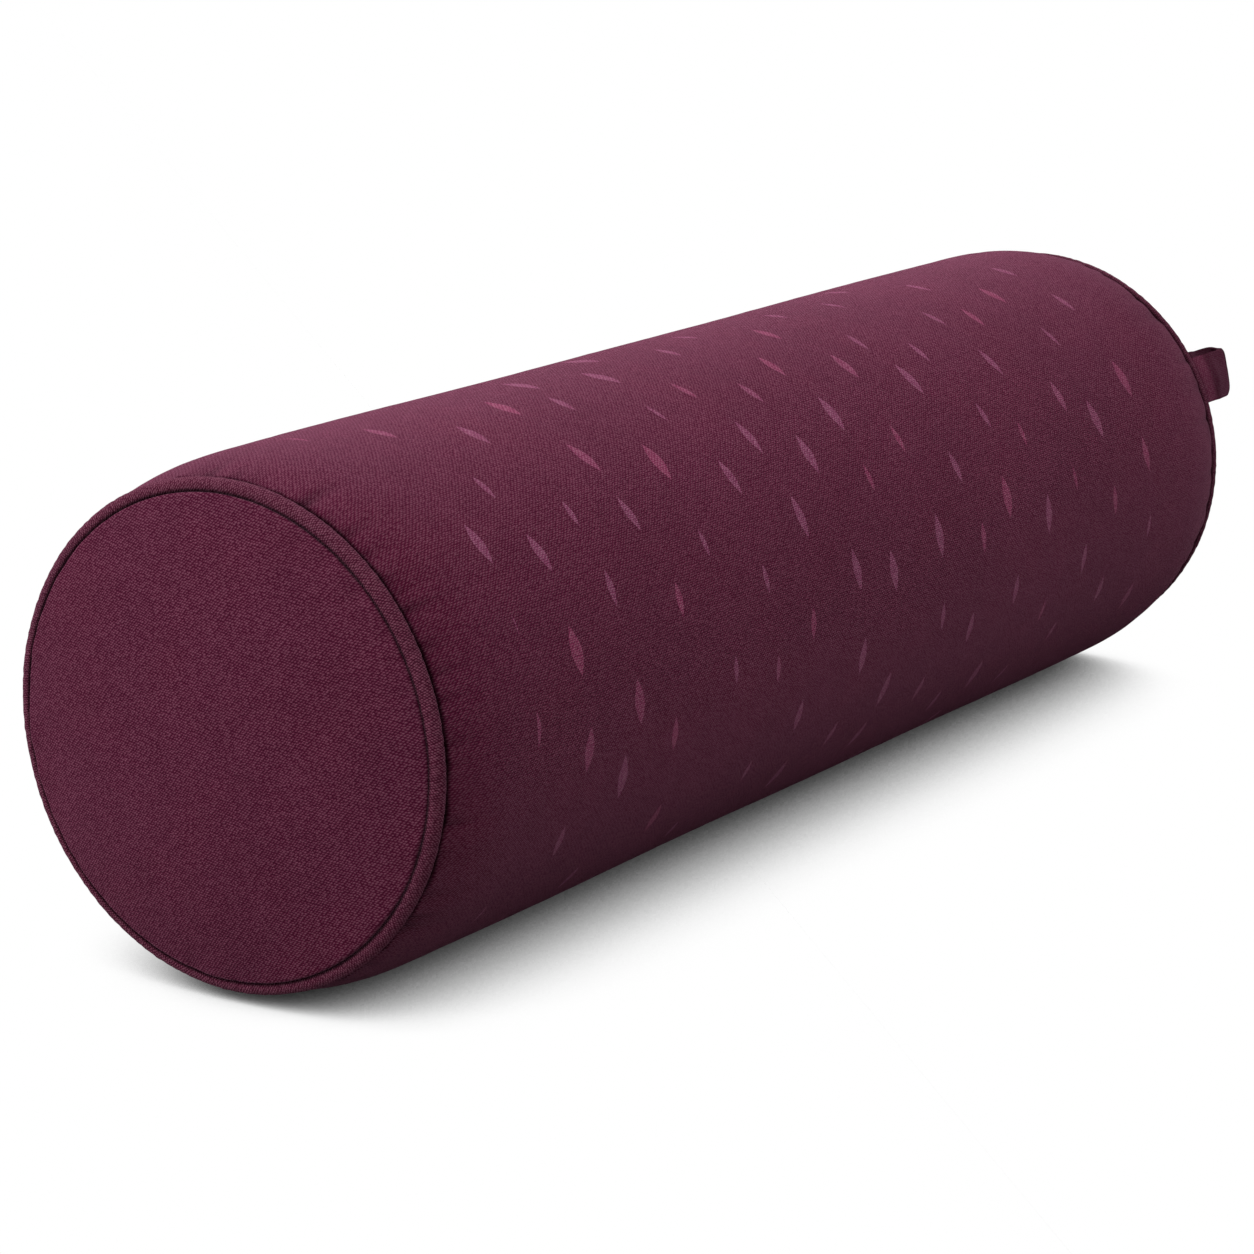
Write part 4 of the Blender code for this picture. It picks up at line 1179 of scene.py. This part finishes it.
SURROUND = 0.04                  # the surround's light on the object; the camera sees it as white
LAMPS = (                        # name, energy, spread in degrees, and where it shines from
    ("overhead", 3.0, 140, (-0.30, 0.12, 1.0)),
    ("behind_left", 1.3, 60, (-0.38, 0.83, 0.38)),
    ("beyond", 1.1, 60, (1.0, 0.30, 0.10)))

FLOOR_BOUNCE = 0.20              # of the light that falls on the floor
FLOOR_REACH = 0.6                # how far off the object still darkens the floor's painted shadow
FLOOR_OPEN = 0.56                # the share of the sky in sight from which the floor's glow is white to the camera; less sky paints it darker
FLOOR_SIZE = 60.0


def make_camera():
    up = VIEW_BACK.cross(VIEW_ASIDE)
    data = bpy.data.cameras.new("camera")
    data.sensor_width = 36.0
    data.lens = VIEW_LENS
    data.clip_start, data.clip_end = 0.05, FLOOR_SIZE
    camera = placed("camera", data)
    place = Vector((0, 0, AXIS_HEIGHT)) + VIEW_BACK * VIEW_DISTANCE
    place += VIEW_ASIDE * VIEW_SHIFT[0] + up * VIEW_SHIFT[1]
    turn = Matrix((VIEW_ASIDE, up, VIEW_BACK)).transposed()
    camera.matrix_world = Matrix.Translation(place) @ turn.to_4x4()
    bpy.context.scene.camera = camera


def make_light():
    """Soft lights from overhead, from behind and from beyond the far end, and an even white surround."""
    world = bpy.data.worlds.new("studio")
    bpy.context.scene.world = world
    world.use_nodes = True
    nodes = Nodes(world.node_tree)
    background = nodes.tree.nodes["Background"].inputs
    background["Color"].default_value = (1.0, 1.0, 1.0, 1.0)
    nodes.plug(background["Strength"], nodes.signal(0, "Mix", {0: nodes.seen(), 2: SURROUND, 3: 1.0}))
    for name, energy, spread, toward in LAMPS:
        lamp = bpy.data.lights.new(name, "SUN")
        lamp.energy = energy
        lamp.angle = math.radians(spread)
        sun = placed(name, lamp)
        sun.rotation_mode = "QUATERNION"
        sun.rotation_quaternion = Vector(toward).normalized().to_track_quat("Z", "Y")


def make_floor():
    """A pale floor: to the camera a white glow with the object's soft shadow painted in from ambient
    occlusion, and darker in its bounce.
    """
    finish = Finish("studio_floor", 1.0, 0.0)
    finish.shader.inputs["Base Color"].default_value = (FLOOR_BOUNCE, FLOOR_BOUNCE, FLOOR_BOUNCE, 1.0)
    # painted shadow: the camera sees an emission whose strength follows the ambient occlusion, not the lamps'
    # own shadow
    sky = finish.signal("AO", "AmbientOcclusion", {"Distance": FLOOR_REACH}, samples=16)
    shaded = finish.signal(0, "Emission", {"Strength": sky.ramp(0.0, FLOOR_OPEN)})
    bounced = Signal(finish, finish.shader.outputs[0])
    either = finish.signal(0, "MixShader", {0: finish.seen(), 1: bounced, 2: shaded})
    finish.plug(finish.tree.nodes["Material Output"].inputs["Surface"], either)
    reach = FLOOR_SIZE / 2
    corners = [(-reach, -reach, 0), (reach, -reach, 0), (reach, reach, 0), (-reach, reach, 0)]
    floor = placed("studio_floor", new_mesh("studio_floor", corners, [(0, 1, 2, 3)], finish.material))


def dress():
    printed = cloth_finish("printed_cotton", PLUM, (0.0021, 0.00096), 0.44, printed=True)
    slant = math.radians(-10.0)
    bias = math.radians(45.0)
    plain = cloth_finish("plain_cotton", PLUM_END, (0.00127, 0.00106), 0.50, slant, depth=0.00016)
    trim = cloth_finish("bias_cotton", PLUM_TRIM, (0.0011, 0.0010), 0.55, bias, sheen=0.3)
    strap = cloth_finish("strap_cotton", PLUM_STRAP_WITH_PAINTED_LIGHT, (0.0012, 0.0009), 0.22, depth=0.00015, sheen=0.25)
    tape = tape_finish("zip_tape_weave", srgb(66, 32, 44))
    nylon = nylon_finish("zip_coil_nylon", srgb(70, 34, 47))
    thread = nylon_finish("topstitch_thread", srgb(104, 54, 74))
    metal = metal_finish("zip_plating", srgb(112, 104, 100))
    cotton = plain_weave_finish("calico", srgb(226, 220, 206), 0.0006, 0.00015)
    cord = plain_weave_finish("twisted_cotton", srgb(238, 236, 230), 0.0005, 0.0001)
    batting = fibre_finish("batting_fibre", srgb(236, 233, 224), 0.009, 0.0012)
    foam = foam_finish("open_foam", srgb(232, 214, 150))

    make_barrel(printed)
    for name, side, seed in (("near", -1, 31), ("far", 1, 32)):
        make_end("end_cloth_" + name, "cover_end_" + name, side, seed, plain)
        make_piping("piping_cloth_" + name, "piping_" + name, side, seed + 10, trim)
    make_loop(strap)
    for name, side in (("upper", -1), ("lower", 1)):
        make_tape("zip_tape_cloth_" + name, "zip_tape_" + name, side, tape)
        make_coil("zip_coil_wire_" + name, "zip_coil_" + name, side, nylon)
    make_topstitch(thread)
    soften_metal(metal)
    make_inside(cotton, batting, foam, cord)


bpy.context.scene.view_settings.view_transform = "Standard"
make_camera()
make_light()
make_floor()
dress()
